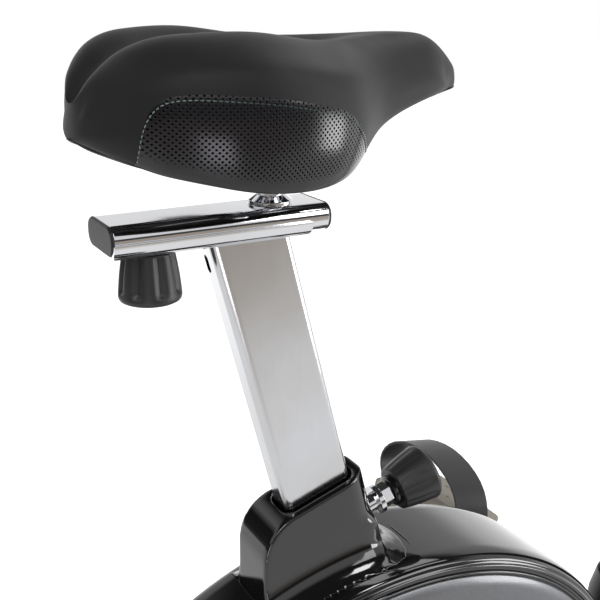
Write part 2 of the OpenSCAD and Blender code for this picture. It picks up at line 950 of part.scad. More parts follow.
module height_knob() {
  color("#17171a") {
    on_pin(knob_out)
      fluted_knob(height_knob_d * 0.7, height_knob_d, height_knob_length + 3, plunger_d + 0.02, 21);
    on_pin(knob_out - 6.3)
      difference() {
        cylinder(h = 6.8, d = height_knob_d * 0.48);
        translate([0, 0, -1])
          cylinder(h = 10, d = plunger_d + 0.02);
      }
  }
}

// ---------- saddle ----------

saddle_steps = 22;

// Form of the saddle at seven equal stations, from its rear end to its nose
half_widths = [for (w = [82, 98, 105, 93, 54, 32, 9]) w * saddle_width / 210];
crown_heights = [for (h = [6, 3, 0, 5.5, 5, 6, 11]) slider_z + saddle_rise - h];
rim_heights = [for (h = [70, 50, 40, 42, 66, 78, 80]) slider_z + h];
groove_depths = [12, 16, 25, 16, 3, 0, 0];

// A smooth curve through values at equal steps, at place k from 0 to 1
function spline(values, k) =
  let (
    steps = len(values) - 1, i = min(floor(k * steps), steps - 1), t = k * steps - i,
    b = values[i], c = values[i + 1],
    a = i > 0 ? values[i - 1] : 2 * b - c,
    d = i < steps - 1 ? values[i + 2] : 2 * c - b
  )
  b + t / 2 * (c - a + t * (2 * a - 5 * b + 4 * c - d + t * (3 * (b - c) + d - a)));

// Station k runs from the rear end, 0, to the nose tip, 1
function saddle_y(k) = saddle_rear_y - saddle_length * k;
function saddle_half(k) =
  spline(half_widths, k)
  * sqrt(max(1 - pow(max(1 - k / 0.41, 0), 2.6), 0.0004))
  * sqrt(max(1 - pow(max((k - 0.84) / 0.16, 0), 2), 0.0004));
function saddle_top(k) =
  spline(crown_heights, k) - 30 * pow(max((k - 0.84) / 0.16, 0), 2) - 32 * pow(max(1 - k / 0.2, 0), 2);
function saddle_rim(k) = spline(rim_heights, k);

// Height of the outer skin across one station; share runs -1 to 1
function skin_z(k, share) =
  let (top = saddle_top(k), drop = min(24, (top - saddle_rim(k)) * 0.72))
  top - drop * pow(abs(share), 3.2) - max(spline(groove_depths, k), 0) * exp(-pow(share / 0.35, 2));

// Share of its full height that the skirt's inner lip has at a station
function lip(k) = min(1, (skin_z(k, 1) - saddle_rim(k)) / 20);

section_shares = [-1, -0.94, -0.82, -0.64, -0.42, -0.2, 0, 0.2, 0.42, 0.64, 0.82, 0.94, 1];

// Half width and height of the surface that lies at depth d under the outer skin
function layer_half(k, d) =
  let (w = saddle_half(k), in = 0.3 * d + max(d - foam_t, 0))
  max(w - in, w * (1 - in / 10));
function layer_z(k, share, d) =
  let (z = skin_z(k, share) - d * (1 - 0.5 * abs(share)))
  d == 0 ? z : max(z, saddle_rim(k) + (6 - 0.6 * (d - foam_t)) * lip(k));
function layer_edge(k, d) =
  [max(layer_half(k, d) - 5, layer_half(k, d) * 0.8), saddle_rim(k) + 0.1 * d * lip(k)];

// Closed section of a layer that lies from depth d1 to depth d2 under the outer skin
function layer_ring(k, d1, d2) =
  let (y = saddle_y(k), outer = layer_edge(k, d1), inner = layer_edge(k, d2), n = len(section_shares))
  concat(
    [[-outer[0], y, outer[1]]],
    [for (s = section_shares) [layer_half(k, d1) * s, y, layer_z(k, s, d1)]],
    [[outer[0], y, outer[1]], [inner[0], y, inner[1] + 0.5 * lip(k)]],
    [for (i = [n - 1 : -1 : 0]) let (s = section_shares[i])
      [layer_half(k, d2) * s, y, layer_z(k, s, d2)]],
    [[-inner[0], y, inner[1] + 0.5 * lip(k)]]
  );

module saddle_layer(k1, k2, d1, d2) {
  rings = [for (i = [0 : saddle_steps])
    let (t = i / saddle_steps, k = mix(k1, k2, 0.5 - 0.5 * cos(180 * t)))
      layer_ring(k, d1, d2)];
  cols = len(rings[0]);
  rows = len(rings);
  caps = concat(layer_cap(cols, 0, true), layer_cap(cols, (rows - 1) * cols, false));
  polyhedron([for (r = rings) each r], concat(ring_faces(rows, cols, false), caps));
}

// Depth of the pan's top face under the outer skin, with a small gap to the foam
pan_d = foam_t + 1;

module saddle_cover() {
  color("#1d1d1f") saddle_layer(0.006, 0.992, 0, foam_t);
}

module saddle_pan() {
  color("#161618") {
    saddle_layer(0.08, 0.88, pan_d, pan_d + pan_t);
    socket_block(front_socket, -11.5, 11.5);
    for (side = [-1, 1])
      socket_block(rear_socket, side * 36 - 8, side * 36 + 8);
  }
}

// Stations where the sewn side patches begin and end
patch_rear = 0.097;
patch_front = 0.575;

// How far down the side wall a patch begins, from 0 at the shoulder to 1 at the rim; t runs from rear to front
function patch_top(t) =
  min(0.17 + 0.83 * pow(max(1 - t / 0.07, 0), 3.5) + 0.83 * pow(max((t - 0.55) / 0.45, 0), 1.8), 0.9);

// A point of the side wall, share u down it and out by grow
function wall_point(side, k, u, grow) =
  [side * (saddle_half(k) - 5 * u + grow), saddle_y(k), mix(skin_z(k, 1), saddle_rim(k), u)];

// One side's sewn patch, on the outside of the cover
module side_patch(side) {
  steps = 18;
  rings = [for (i = [0 : steps])
    let (t = pow(i / steps, 1.6), k = mix(patch_rear, patch_front, t),
      downs = [for (j = [0 : 4]) mix(patch_top(t), 0.97, j / 4)])
    concat(
      [for (u = downs) wall_point(side, k, u, 0.3)],
      [for (j = [4 : -1 : 0]) wall_point(side, k, downs[j], j == 0 || j == 4 ? 0.8 : 0.8 + 1.2 * sin(180 * t))]
    )];
  cols = len(rings[0]);
  quads = ring_faces(steps + 1, cols, false);
  first = [for (i = [0 : cols - 1]) i];
  last = [for (i = [cols - 1 : -1 : 0]) steps * cols + i];
  faces = concat(quads, [flip(last), flip(first)]);
  polyhedron([for (r = rings) each r], side < 0 ? faces : [for (f = faces) flip(f)]);
}

module saddle_side_panels() {
  color("#0c0c0e")
    for (side = [-1, 1])
      side_patch(side);
}

tilt_y = saddle_pin_y + 22;
tilt_z = slider_z + slider_h / 2 + 24;
rail_x = 22;
rail_z = tilt_z + 9.5;

module saddle_clamp() {
  color("#b9b9bb") {
    difference() {
      union() {
        translate([0, saddle_pin_y, tilt_z - 10])
          cylinder(h = 20, d = saddle_pin_d + 10);
        translate([-15.7, saddle_pin_y + saddle_pin_d / 2, tilt_z - 10])
          cube([31.4, 22 - saddle_pin_d / 2 + 9, 20]);
      }
      translate([0, saddle_pin_y, tilt_z - 20])
        cylinder(h = 40, d = saddle_pin_d);
    }
    translate([0, tilt_y, tilt_z]) {
      x_rod(-32, 32, 8);
      for (side = [-1, 1])
        translate([side * 31, 0, 0])
          x_rod(-3, 3, 14);
    }
  }
}

module saddle_clamp_cheeks() {
  color("#2b2b2d")
    translate([0, tilt_y, tilt_z])
      for (side = [-1, 1])
        difference() {
          translate([side > 0 ? 16 : -27.7, -15, -9])
            cube([11.7, 30, 24]);
          x_rod(-40, 40, 8.1);
          translate([side * rail_x, 30, rail_z - tilt_z])
            rotate([90, 0, 0])
              cylinder(h = 60, d = rail_d);
        }
}

// A round rod between two points
module rod(a, b, d) {
  v = b - a;
  translate(a)
    rotate([0, acos(v[2] / norm(v)), atan2(v[1], v[0])])
      cylinder(h = norm(v), d = d);
}

// Stations along the saddle where the rails are held
front_socket = 0.84;
rear_socket = 0.2;

socket_z = slider_z + 78;

// The bends of one rail, from under the pan's nose to under its rear
function rail_path(side) = [
  [side * 5, saddle_y(front_socket), socket_z],
  [side * 5, saddle_y(front_socket), socket_z - 24],
  [side * rail_x, saddle_pin_y - 45, rail_z],
  [side * rail_x, saddle_pin_y + 50, rail_z],
  [side * 36, saddle_y(rear_socket), socket_z - 20],
  [side * 36, saddle_y(rear_socket), socket_z]
];

// A path with each inner corner rounded off over r on either side
function rounded(path, r) = concat(
  [path[0]],
  [for (i = [1 : len(path) - 2])
    let (b = path[i], a = path[i - 1] - b, c = path[i + 1] - b)
      for (j = [0 : 3])
        let (t = j / 3) b + r * (1 - t) * (1 - t) * a / norm(a) + r * t * t * c / norm(c)],
  [path[len(path) - 1]]
);

// Unit direction of a path at its point i
function heading(path, i) =
  let (v = path[min(i + 1, len(path) - 1)] - path[max(i - 1, 0)]) v / norm(v);

// A bent round rod along a path
module bent_rod(path, d) {
  sides = 14;
  rows = len(path);
  rings = [for (i = [0 : rows - 1])
    let (v = heading(path, i), u = cross([1, 0, 0], v), w = u / norm(u), x = cross(v, w))
      for (j = [0 : sides - 1])
        path[i] + d / 2 * (cos(360 * j / sides) * x + sin(360 * j / sides) * w)];
  first = [for (j = [0 : sides - 1]) j];
  last = [for (j = [sides - 1 : -1 : 0]) (rows - 1) * sides + j];
  polyhedron(rings, concat(ring_faces(rows, sides, false), [flip(last), flip(first)]));
}

module saddle_rails() {
  color("#c4c4c4")
    for (side = [-1, 1])
      bent_rod(rounded(rail_path(side), 8), rail_d);
}

// Height of the pan's underside at station k and a distance x from the middle
function pan_under(k, x) = layer_z(k, abs(x) / layer_half(k, pan_d + pan_t), pan_d + pan_t);

// A block from x1 to x2 that hangs from the pan at station k, for the end of a rail
module socket_block(k, x1, x2) {
  translate([0, saddle_y(k) + 7, 0])
    rotate([90, 0, 0])
      linear_extrude(14)
        polygon(concat(
          [[x2, socket_z], [x1, socket_z]],
          [for (i = [0 : 4]) let (x = mix(x1, x2, i / 4)) [x, pan_under(k, x) + 1.2]]
        ));
}

// ---------- crank, pulley and belt ----------

// Local frame in the side view: x runs rearwards, y up and z to the rider's left
module side_view(y = 0, z = 0) {
  translate([0, y, z])
    rotate([90, 0, 90])
      children();
}

rib_depth = 1.7;

// Zigzag of rib tips and valleys at radius r, as [radius, place across]
function rib_edge(r) = [
  for (i = [0 : belt_ribs - 1], tip = [0 : 2])
    let (x = (i - (belt_ribs - 1) / 2) * rib_pitch)
      tip == 0 ? [r, x - rib_pitch / 2 + 0.25]
      : tip == 1 ? [r - rib_depth, x]
      : [r, x + rib_pitch / 2 - 0.25]
];

// Half section of a grooved pulley from inner radius r1 to the rib tips at r
module grooved_rim(r, r1) {
  polygon(concat(
    [[r1, -belt_w / 2 - 2], [r + 1.2, -belt_w / 2 - 2], [r + 1.2, -belt_w / 2 - 0.6], [r, -belt_w / 2]],
    rib_edge(r),
    [[r, belt_w / 2], [r + 1.2, belt_w / 2 + 0.6], [r + 1.2, belt_w / 2 + 2], [r1, belt_w / 2 + 2]]
  ));
}

// Section of the belt with its ribs turned to the pulley, as [radius, place across]
function belt_section(r) =
  let (half = belt_ribs * rib_pitch / 2)
  concat([[r + belt_t, -half], [r + belt_gap, -half]], rib_edge(r + belt_gap), [[r + belt_gap, half], [r + belt_t, half]]);

wrap_angle = acos((pulley_r - small_pulley_r) / (flywheel_y - crank_y));

// The belt's path, as [centre y, radius, angle]: round the drive pulley, then round the small one
belt_path = concat(
  [for (i = [0 : 38]) [crank_y, pulley_r, mix(wrap_angle, 360 - wrap_angle, i / 38)]],
  [for (i = [0 : 12]) [flywheel_y, small_pulley_r, mix(-wrap_angle, wrap_angle, i / 12)]]
);

module drive_belt() {
  rings = [for (p = belt_path) [for (q = belt_section(p[1]))
    [belt_x + q[1], p[0] + q[0] * cos(p[2]), crank_z + q[0] * sin(p[2])]]];
  color("#1f1f21")
    polyhedron([for (r = rings) each r], [for (q = ring_faces(len(rings), len(rings[0]), true)) flip(q)]);
}

module drive_pulley() {
  color("#2c2c2e")
    side_view(crank_y, crank_z)
      translate([0, 0, belt_x])
        difference() {
          union() {
            rotate_extrude($fn = 96)
              grooved_rim(pulley_r, pulley_r - 10);
            translate([0, 0, -2.5])
              cylinder(h = 5, r = pulley_r - 8, $fn = 96);
            translate([0, 0, -9])
              cylinder(h = 17, d = 46);
          }
          for (k = [0 : 5])
            rotate([0, 0, 60 * k + 30])
              translate([pulley_r * 0.58, 0, -10])
                cylinder(h = 20, d = 46);
          translate([0, 0, -20])
            cylinder(h = 40, d = axle_d);
        }
}

module crank_axle() {
  color("#a8a8aa")
    translate([0, crank_y, crank_z]) {
      x_rod(-crank_in - crank_t + 1, crank_in + crank_t - 1, axle_d);
      for (side = [-1, 1])
        translate([side * 31.7, 0, 0])
          x_rod(-1.3, 1.3, axle_d + 5);
    }
}

module cartridge_bearing(x, y, z) {
  translate([x, y, z])
    difference() {
      x_pipe(-bearing_w / 2, bearing_w / 2, bearing_d, axle_d + 2 * running_gap);
      for (side = [-1, 1])
        translate([side * bearing_w / 2, 0, 0])
          x_pipe(-0.8, 0.8, bearing_d - 5, axle_d + 6);
    }
}

module cartridge_bearings() {
  color("#a8a8aa")
    for (side = [-1, 1]) {
      cartridge_bearing(side * (30 - bearing_w / 2), crank_y, crank_z);
      cartridge_bearing(side * (plate_x + 5), flywheel_y, flywheel_z);
    }
}

// One crank arm in the side view, pointing along local x
module crank_arm_outline() {
  boss_r = 19;
  eye_r = 15;
  circle(boss_r);
  translate([crank_length, 0])
    circle(eye_r);
  polygon([[0, -boss_r + 2], [crank_length, -eye_r + 2], [crank_length, eye_r - 2], [0, boss_r - 2]]);
}

module crank_arm(side, angle) {
  side_view(crank_y, crank_z)
    translate([0, 0, side > 0 ? crank_in : -crank_in - crank_t])
      rotate([0, 0, angle])
        difference() {
          linear_extrude(crank_t)
            crank_arm_outline();
          translate([0, 0, -1])
            cylinder(h = crank_t + 2, d = axle_d);
          translate([crank_length, 0, -1])
            cylinder(h = crank_t + 2, d = 14);
          translate([26, -3, side > 0 ? crank_t - 2 : -1])
            cube([crank_length - 52, 6, 3]);
        }
}

module left_crank() {
  color("#2a2a2c") crank_arm(1, 180 - crank_rise);
}

module right_crank() {
  color("#2a2a2c") crank_arm(-1, -crank_rise);
}

module crank_caps() {
  color("#17171a")
    translate([0, crank_y, crank_z])
      for (side = [-1, 1])
        mirror([side < 0 ? 1 : 0, 0, 0]) {
          x_rod(crank_in + crank_t, crank_in + crank_t + 3, 26);
          translate([crank_in + crank_t + 3, 0, 0])
            rotate([0, 90, 0])
              cylinder(h = 2.5, d1 = 26, d2 = 17);
        }
}

// Local frame of one pedal, with x outwards from the crank and the tread up
module on_pedal(side) {
  translate([0, crank_y - side * (crank_y - pedal_y), crank_z + side * pedal_rise])
    rotate([pedal_tilt, 0, 0])
      mirror([side < 0 ? 1 : 0, 0, 0])
        children();
}

module pedal_axles() {
  color("#a8a8aa")
    for (side = [-1, 1])
      on_pedal(side) {
        x_rod(crank_in, pedal_in + pedal_w - 8, 14);
        x_rod(crank_in + crank_t, crank_in + crank_t + 5, 20);
      }
}

tread_top = 12;
boss_d = 27;
lug_y = 18;
lug_z = -2;

module pedal() {
  difference() {
    union() {
      translate([pedal_in + pedal_w / 2, 0, tread_top - pedal_t])
        linear_extrude(pedal_t)
          rounded_rect(pedal_w, pedal_depth, 14);
      x_rod(pedal_in - 12, pedal_in + pedal_w, boss_d);
      for (i = [0 : 4], j = [0 : 4])
        translate([pedal_in + 14 + i * (pedal_w - 28) / 4, (j - 2) * (pedal_depth - 26) / 4, tread_top - 1])
          cylinder(h = 2.2, d1 = 6, d2 = 4);
      for (x = [pedal_in - 4.5, pedal_in + pedal_w - 1])
        for (y = [-lug_y, lug_y])
          translate([x, y, lug_z])
            x_rod(0, 5.5, 6);
    }
    x_rod(0, 400, 14 + 2 * running_gap);
    for (end = [-1, 1])
      translate([pedal_in + pedal_w / 2, end * (pedal_depth / 4 + 5), tread_top - pedal_t - 1])
        linear_extrude(pedal_t - 4)
          rounded_rect(pedal_w - 12, pedal_depth / 2 - 24, 8);
  }
}

module left_pedal() {
  color("#4a4846") on_pedal(1) pedal();
}

module right_pedal() {
  color("#4a4846") on_pedal(-1) pedal();
}

strap_t = 3;

strap_low = -14;

// Line of the strap over the pedal, from its inner side up over the shoe to a loose outer side
strap_line = [
  for (p = [
    [-1, strap_low], [-1, 4], [1, 20], [8, 36], [22, 50], [46, 61], [76, strap_rise], [106, 63], [130, 54],
    [145, 40], [149, 26], [143, 12], [131, 2], [126.6, -5], [126.6, strap_low]
  ]) [pedal_in + p[0] * pedal_w / 125.6, p[1]]
];

// The strap's line made smooth, and moved outwards by grow
function strap_arch(grow) = [
  for (i = [0 : 2 * (len(strap_line) - 1)])
    let (k = i / 2 / (len(strap_line) - 1), step = 0.005,
      a = strap_point(max(k - step, 0)), b = strap_point(min(k + step, 1)), v = (b - a) / norm(b - a))
      strap_point(k) + grow * [-v[1], v[0]]
];
function strap_point(k) =
  [spline([for (p = strap_line) p[0]], k), spline([for (p = strap_line) p[1]], k)];

module strap() {
  difference() {
    translate([0, strap_w / 2, 0])
      rotate([90, 0, 0])
        linear_extrude(strap_w)
          polygon(concat(strap_arch(strap_t), flip(strap_arch(0))));
    for (y = [-lug_y, lug_y])
      translate([0, y, lug_z])
        x_rod(0, 400, 6.2);
    x_rod(0, pedal_in + 10, boss_d + 0.6);
    translate([0, -boss_d / 2 - 0.3, strap_low - 1])
      cube([pedal_in + 10, boss_d + 0.6, 1 - strap_low]);
  }
}

module left_strap() {
  color("#3c3c3e") on_pedal(1) strap();
}

module right_strap() {
  color("#3c3c3e") on_pedal(-1) strap();
}

// ---------- flywheel and brake ----------

module flywheel() {
  rim = flywheel_t / 2;
  color("#3a3a3c")
    side_view(flywheel_y, flywheel_z)
      rotate_extrude($fn = 96)
        polygon([
          [axle_d / 2, -14], [22, -14], [24, -5], [flywheel_r - 27, -5], [flywheel_r - 25, -rim],
          [flywheel_r - 1.5, -rim], [flywheel_r, -rim + 1.5], [flywheel_r, rim - 1.5],
          [flywheel_r - 1.5, rim], [flywheel_r - 25, rim], [flywheel_r - 27, 5], [24, 5],
          [22, 14], [axle_d / 2, 14]
        ]);
}

module flywheel_shaft() {
  color("#a8a8aa")
    side_view(flywheel_y, flywheel_z) {
      translate([0, 0, belt_x - belt_w / 2 - 4])
        cylinder(h = plate_x + 14 - belt_x + belt_w / 2 + 4, d = axle_d);
      translate([0, 0, belt_x])
        rotate_extrude()
          grooved_rim(small_pulley_r, axle_d / 2 - 1);
      translate([0, 0, plate_x + 11.8])
        cylinder(h = 4, d = axle_d + 6);
    }
}

module magnet_arm() {
  inner = flywheel_r + arm_gap + 2;
  outer = inner + 4;
  color("#8e8e90") {
    difference() {
      side_view(flywheel_y, flywheel_z) {
        rotate([0, 0, 28])
          rotate_extrude(angle = arm_angle - 28, $fn = 96)
            translate([inner, -13])
              square([4, 26]);
        rotate([0, 0, arm_angle - 8])
          rotate_extrude(angle = 12, $fn = 96)
            translate([outer - 1, -9])
              square([flywheel_r + 20 - outer, 18]);
      }
      translate([0, arm_pivot[0], arm_pivot[1]])
        x_rod(-20, 20, 7);
    }
    translate([0, arm_pivot[0], arm_pivot[1]]) {
      x_rod(-17.5, 17.5, 16);
      x_rod(-plate_x - plate_t - 3, plate_x + plate_t + 3, 8);
      for (side = [-1, 1])
        translate([side * (plate_x + plate_t + 2.5), 0, 0])
          x_rod(-1.5, 1.5, 12);
    }
  }
}

module brake_magnets() {
  color("#c9c9cb")
    side_view(flywheel_y, flywheel_z)
      for (k = [0 : 3])
        rotate([0, 0, 32 + k * 14])
          rotate_extrude(angle = 9, $fn = 96)
            translate([flywheel_r + arm_gap, -9])
              square([2, 18]);
}

module tension_motor() {
  x = plate_x + plate_t - 0.5;
  color("#2c2c30") {
    translate([x, 36, 350])
      cube([24, 58, 44]);
    translate([x + 24, 80, 372])
      x_rod(0, 5, 22);
  }
}

// ---------- mast, handlebar and console ----------

module mast() {
  length = 862;
  color("#202022")
    difference() {
      union() {
        difference() {
          on_mast(190)
            cylinder(h = length + 60, d = mast_d);
          on_console(-30)
            translate([-100, -200, 0])
              cube([200, 400, 200]);
        }
        on_console(-30)
          translate([-45, -40, 0])
            cube([90, 80, 4]);
        translate([-26, bar_y - 26, bar_z - 40])
          cube([52, 26, 60]);
      }
      difference() {
        on_mast(180)
          cylinder(h = length + 60, d = mast_d - 2 * mast_wall);
        on_console(-34)
          translate([-100, -200, 0])
            cube([200, 400, 200]);
      }
      translate([0, bar_y, bar_z])
        x_rod(-60, 60, bar_d + 2 * running_gap);
      translate([0, bar_y + 5, bar_z - 28])
        rotate([90, 0, 0])
          cylinder(h = 25, d = 8.1);
      on_mast(200)
        for (turn = [90, 180, 270])
          rotate([0, 0, turn])
            rotate([0, 90, 0])
              cylinder(h = socket_d, d = 8);
      on_console(-40)
        for (x = [-30, 30], y = [-28, 28])
          translate([x, y, 0])
            cylinder(h = 20, d = 4.2);
    }
}

module mast_shroud() {
  color("#18181a")
    on_mast(212)
      difference() {
        union() {
          cylinder(h = 44, d1 = socket_d + 16, d2 = socket_d + 12);
          translate([0, 0, 44])
            cylinder(h = 26, d1 = socket_d + 12, d2 = mast_d + 5);
        }
        translate([0, 0, -1])
          cylinder(h = 36, d = socket_d + 0.6);
        translate([0, 0, -1])
          cylinder(h = 90, d = mast_d + 0.2);
      }
}

module handlebar_clamp_cover() {
  color("#202022")
    difference() {
      translate([-26, bar_y + 0.2, bar_z - 40])
        cube([52, 18, 60]);
      translate([0, bar_y, bar_z])
        x_rod(-60, 60, bar_d + 2 * running_gap);
      translate([0, bar_y + 30, bar_z - 28])
        rotate([90, 0, 0])
          cylinder(h = 40, d = 8.1);
    }
}

module handlebar_knob() {
  start = bar_y + 18.6;
  color("#17171a")
    translate([0, start, bar_z - 28])
      rotate([-90, 0, 0]) {
        fluted_knob(26, 34, 26, 1, 1);
        translate([0, 0, -start + bar_y - 14])
          cylinder(h = 40, d = 8);
      }
}

bar_bend = 70;
bar_rise = 8;

module on_bar() {
  translate([0, bar_y, bar_z])
    rotate([bar_rise, 0, 0])
      children();
}

module bar_ring() {
  difference() {
    circle(d = bar_d);
    circle(d = bar_d - 4);
  }
}

module handlebar() {
  color("#202022")
    on_bar()
      union() {
        x_pipe(-bar_half + bar_bend, bar_half - bar_bend, bar_d, bar_d - 4);
        for (side = [0, 1])
          mirror([side, 0, 0]) {
            translate([bar_half - bar_bend, bar_bend, 0])
              rotate([0, 0, -90])
                rotate_extrude(angle = 90)
                  translate([bar_bend, 0])
                    bar_ring();
            translate([bar_half, bar_bend + bar_leg, 0])
              rotate([90, 0, 0])
                linear_extrude(bar_leg)
                  bar_ring();
          }
      }
}

module handlebar_grips() {
  color("#232325")
    on_bar()
      for (side = [-1, 1])
        translate([side * bar_half, bar_bend + bar_leg + 6, 0])
          rotate([90, 0, 0])
            difference() {
              union() {
                cylinder(h = bar_leg, d = bar_d + 10);
                translate([0, 0, -3])
                  cylinder(h = 3, d1 = bar_d + 2, d2 = bar_d + 10);
                for (k = [0 : 7])
                  translate([0, 0, 14 + k * 11])
                    cylinder(h = 4, d = bar_d + 12);
              }
              translate([0, 0, 6])
                cylinder(h = bar_leg, d = bar_d);
            }
}

console_depth = 26;
button_x = 46;
button_y = 48;
button_d = 18;

module console_back() {
  color("#1b1b1d")
    on_console(-console_depth)
      difference() {
        linear_extrude(console_depth)
          rounded_rect(console_w, console_l, 22);
        translate([0, 0, casing_wall])
          linear_extrude(console_depth)
            rounded_rect(console_w - 2 * casing_wall, console_l - 2 * casing_wall, 20);
        for (x = [-30, 30], y = [-28, 28])
          translate([x, y, -1])
            cylinder(h = 10, d = 4.2);
      }
}

module console_front() {
  color("#222225")
    on_console(0)
      difference() {
        union() {
          linear_extrude(4)
            rounded_rect(console_w, console_l, 22);
          translate([0, 0, 4])
            linear_extrude(3)
              rounded_rect(console_w - 8, console_l - 8, 19);
        }
        translate([0, -20, -1])
          linear_extrude(10)
            rounded_rect(130, 64, 5);
        translate([0, -20, 5])
          linear_extrude(10)
            rounded_rect(138, 72, 6);
        for (side = [-1, 1])
          translate([side * button_x, button_y, -1])
            cylinder(h = 10, d = button_d + 1);
      }
}

module display_lens() {
  color("#0d1a16")
    on_console(5)
      translate([0, -20, 0])
        linear_extrude(2)
          rounded_rect(137.6, 71.6, 6);
}

module button(side) {
  on_console(0)
    translate([side * button_x, button_y, 0]) {
      translate([0, 0, -3])
        cylinder(h = 2.7, d = button_d + 5);
      translate([0, 0, -0.4])
        cylinder(h = 8.6, d = button_d);
      translate([0, 0, 8.2])
        cylinder(h = 1, d1 = button_d, d2 = button_d - 3);
    }
}

module left_button() {
  color("#3d7f52") button(1);
}

module right_button() {
  color("#8a8a8c") button(-1);
}

main_frame();
front_stabiliser();
rear_stabiliser();
front_foot_caps();
rear_foot_caps();
frame_bolts();
casing_right();
casing_left();
side_panel_right();
side_panel_left();
seat_collar();
post_sleeve();
mast_shroud();
casing_screws();
cartridge_bearings();
drive_belt();
tension_motor();
mast();
console_back();
console_front();
display_lens();
handlebar_clamp_cover();
pin_housing();
left_transport_wheel();
right_transport_wheel();
seat_post();
slider_channel();
slider_nut_plate();
slider_knob();
slider_knob_stud();
slider_tube();
slider_end_caps();
saddle_clamp();
saddle_clamp_cheeks();
saddle_rails();
saddle_pan();
saddle_cover();
saddle_side_panels();
height_plunger();
plunger_spring();
height_knob();
crank_axle();
drive_pulley();
left_crank();
right_crank();
crank_caps();
pedal_axles();
left_pedal();
right_pedal();
left_strap();
right_strap();
flywheel();
flywheel_shaft();
magnet_arm();
brake_magnets();
handlebar();
handlebar_grips();
handlebar_knob();
left_button();
right_button();
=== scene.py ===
"""Dresses an upright exercise bike: padded saddle, chrome seat post and slider, gloss casing, knobs and pedals."""

import json
import math

import bmesh
import bpy
from bpy.props import FloatProperty, PointerProperty, StringProperty
from mathutils import Matrix, Vector
from mathutils.bvhtree import BVHTree


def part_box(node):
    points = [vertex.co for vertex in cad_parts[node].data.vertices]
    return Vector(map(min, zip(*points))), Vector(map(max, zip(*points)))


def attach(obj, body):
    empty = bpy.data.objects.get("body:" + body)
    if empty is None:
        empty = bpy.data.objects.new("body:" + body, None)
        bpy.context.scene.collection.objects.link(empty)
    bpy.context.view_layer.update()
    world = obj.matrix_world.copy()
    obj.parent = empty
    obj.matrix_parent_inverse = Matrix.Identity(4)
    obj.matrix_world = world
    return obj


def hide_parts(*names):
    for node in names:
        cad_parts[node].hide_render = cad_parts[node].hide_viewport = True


bl_info = {
    "name": "Exercise bike dressing",
    "version": (1, 0, 0),
    "blender": (4, 5, 0),
    "location": "View3D > Sidebar > Bike",
    "description": "Soft parts, mouldings and finishes of an upright exercise bike",
    "category": "Object",
}

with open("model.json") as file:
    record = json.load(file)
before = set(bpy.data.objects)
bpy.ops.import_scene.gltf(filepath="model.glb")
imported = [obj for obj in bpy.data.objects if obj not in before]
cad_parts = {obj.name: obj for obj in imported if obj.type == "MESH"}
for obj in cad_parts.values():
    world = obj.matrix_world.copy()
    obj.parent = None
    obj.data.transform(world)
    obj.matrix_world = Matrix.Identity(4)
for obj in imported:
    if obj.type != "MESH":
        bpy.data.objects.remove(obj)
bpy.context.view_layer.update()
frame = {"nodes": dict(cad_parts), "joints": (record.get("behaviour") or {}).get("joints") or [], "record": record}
MM = 0.001
BODIES = {node: body for body, nodes in frame["record"]["behaviour"]["bodies"].items() for node in nodes}
JOINTS = {joint["name"]: joint for joint in frame["joints"]}
SIDES = ((-1, "right"), (1, "left"))
ALL_SMOOTH, HARD_EDGE = 180, 33  # angles in degrees past which an edge is sharp
WELD, CAD_WELD = 0.002 * MM, 0.003 * MM  # how near points are merged


# ---------- sizes and colours that a user would change ----------


class SaddleSizes(bpy.types.PropertyGroup):
    """Padding and cover of the saddle."""

    swell: FloatProperty(
        name="Swell", description="How far the foam may swell the cover, in millimetres", default=2.2, min=0.0, max=5.0
    )
    hole_pitch: FloatProperty(
        name="Hole pitch", description="Distance between the holes of the side patches, in millimetres", default=2.5
    )
    hole: FloatProperty(name="Hole size", description="Diameter of one hole, in millimetres", default=1.25)
    stitch: FloatProperty(name="Stitch length", description="Length of one stitch, in millimetres", default=2.6)
    thread: StringProperty(name="Thread", description="Colour of the sewing thread", default="93A89C")
    cover: StringProperty(name="Cover", description="Colour of the cover", default="121213")


class FinishSizes(bpy.types.PropertyGroup):
    """Colours of the finishes."""

    chrome: StringProperty(name="Chrome", description="Colour of the plating", default="E2E3E7")
    gloss: StringProperty(name="Gloss black", description="Colour of the gloss mouldings", default="0B0B0C")
    satin: StringProperty(name="Satin black", description="Colour of the knobs and caps", default="19191B")
    grey: StringProperty(name="Panel grey", description="Colour of the painted side panels", default="5B5C5F")


class StageSizes(bpy.types.PropertyGroup):
    """Floor, lamps and camera."""

    floor: FloatProperty(name="Floor", description="Half width of the floor", default=9.0, unit="LENGTH")
    lamps: FloatProperty(name="Lamps", description="Strength of all lamps together, as a share", default=1.0, min=0.0)
    sky: FloatProperty(name="Room light", description="Strength of the light from all round", default=0.55)
    lens: FloatProperty(name="Lens", description="Focal length for a 36 mm sensor", default=54.56)


# ---------- shared helpers ----------


def linear(code):
    """An sRGB hex colour as linear RGBA."""
    channels = [int(code[i : i + 2], 16) / 255 for i in (0, 2, 4)]
    return tuple(c / 12.92 if c <= 0.04045 else ((c + 0.055) / 1.055) ** 2.4 for c in channels) + (1.0,)


def mix(a, b, t):
    return a + (b - a) * t


def smooth(t):
    t = min(max(t, 0.0), 1.0)
    return t * t * (3 - 2 * t)


def spline(values, k):
    """A smooth curve through values at equal steps, at place k from 0 to 1."""
    steps = len(values) - 1
    place = min(max(k, 0.0), 1.0) * steps
    i = min(int(place), steps - 1)
    t = place - i
    run = [2 * values[0] - values[1], *values, 2 * values[-1] - values[-2]]
    a, b, c, d = run[i : i + 4]
    return b + 0.5 * t * (c - a + t * (2 * a - 5 * b + 4 * c - d + t * (3 * (b - c) + d - a)))


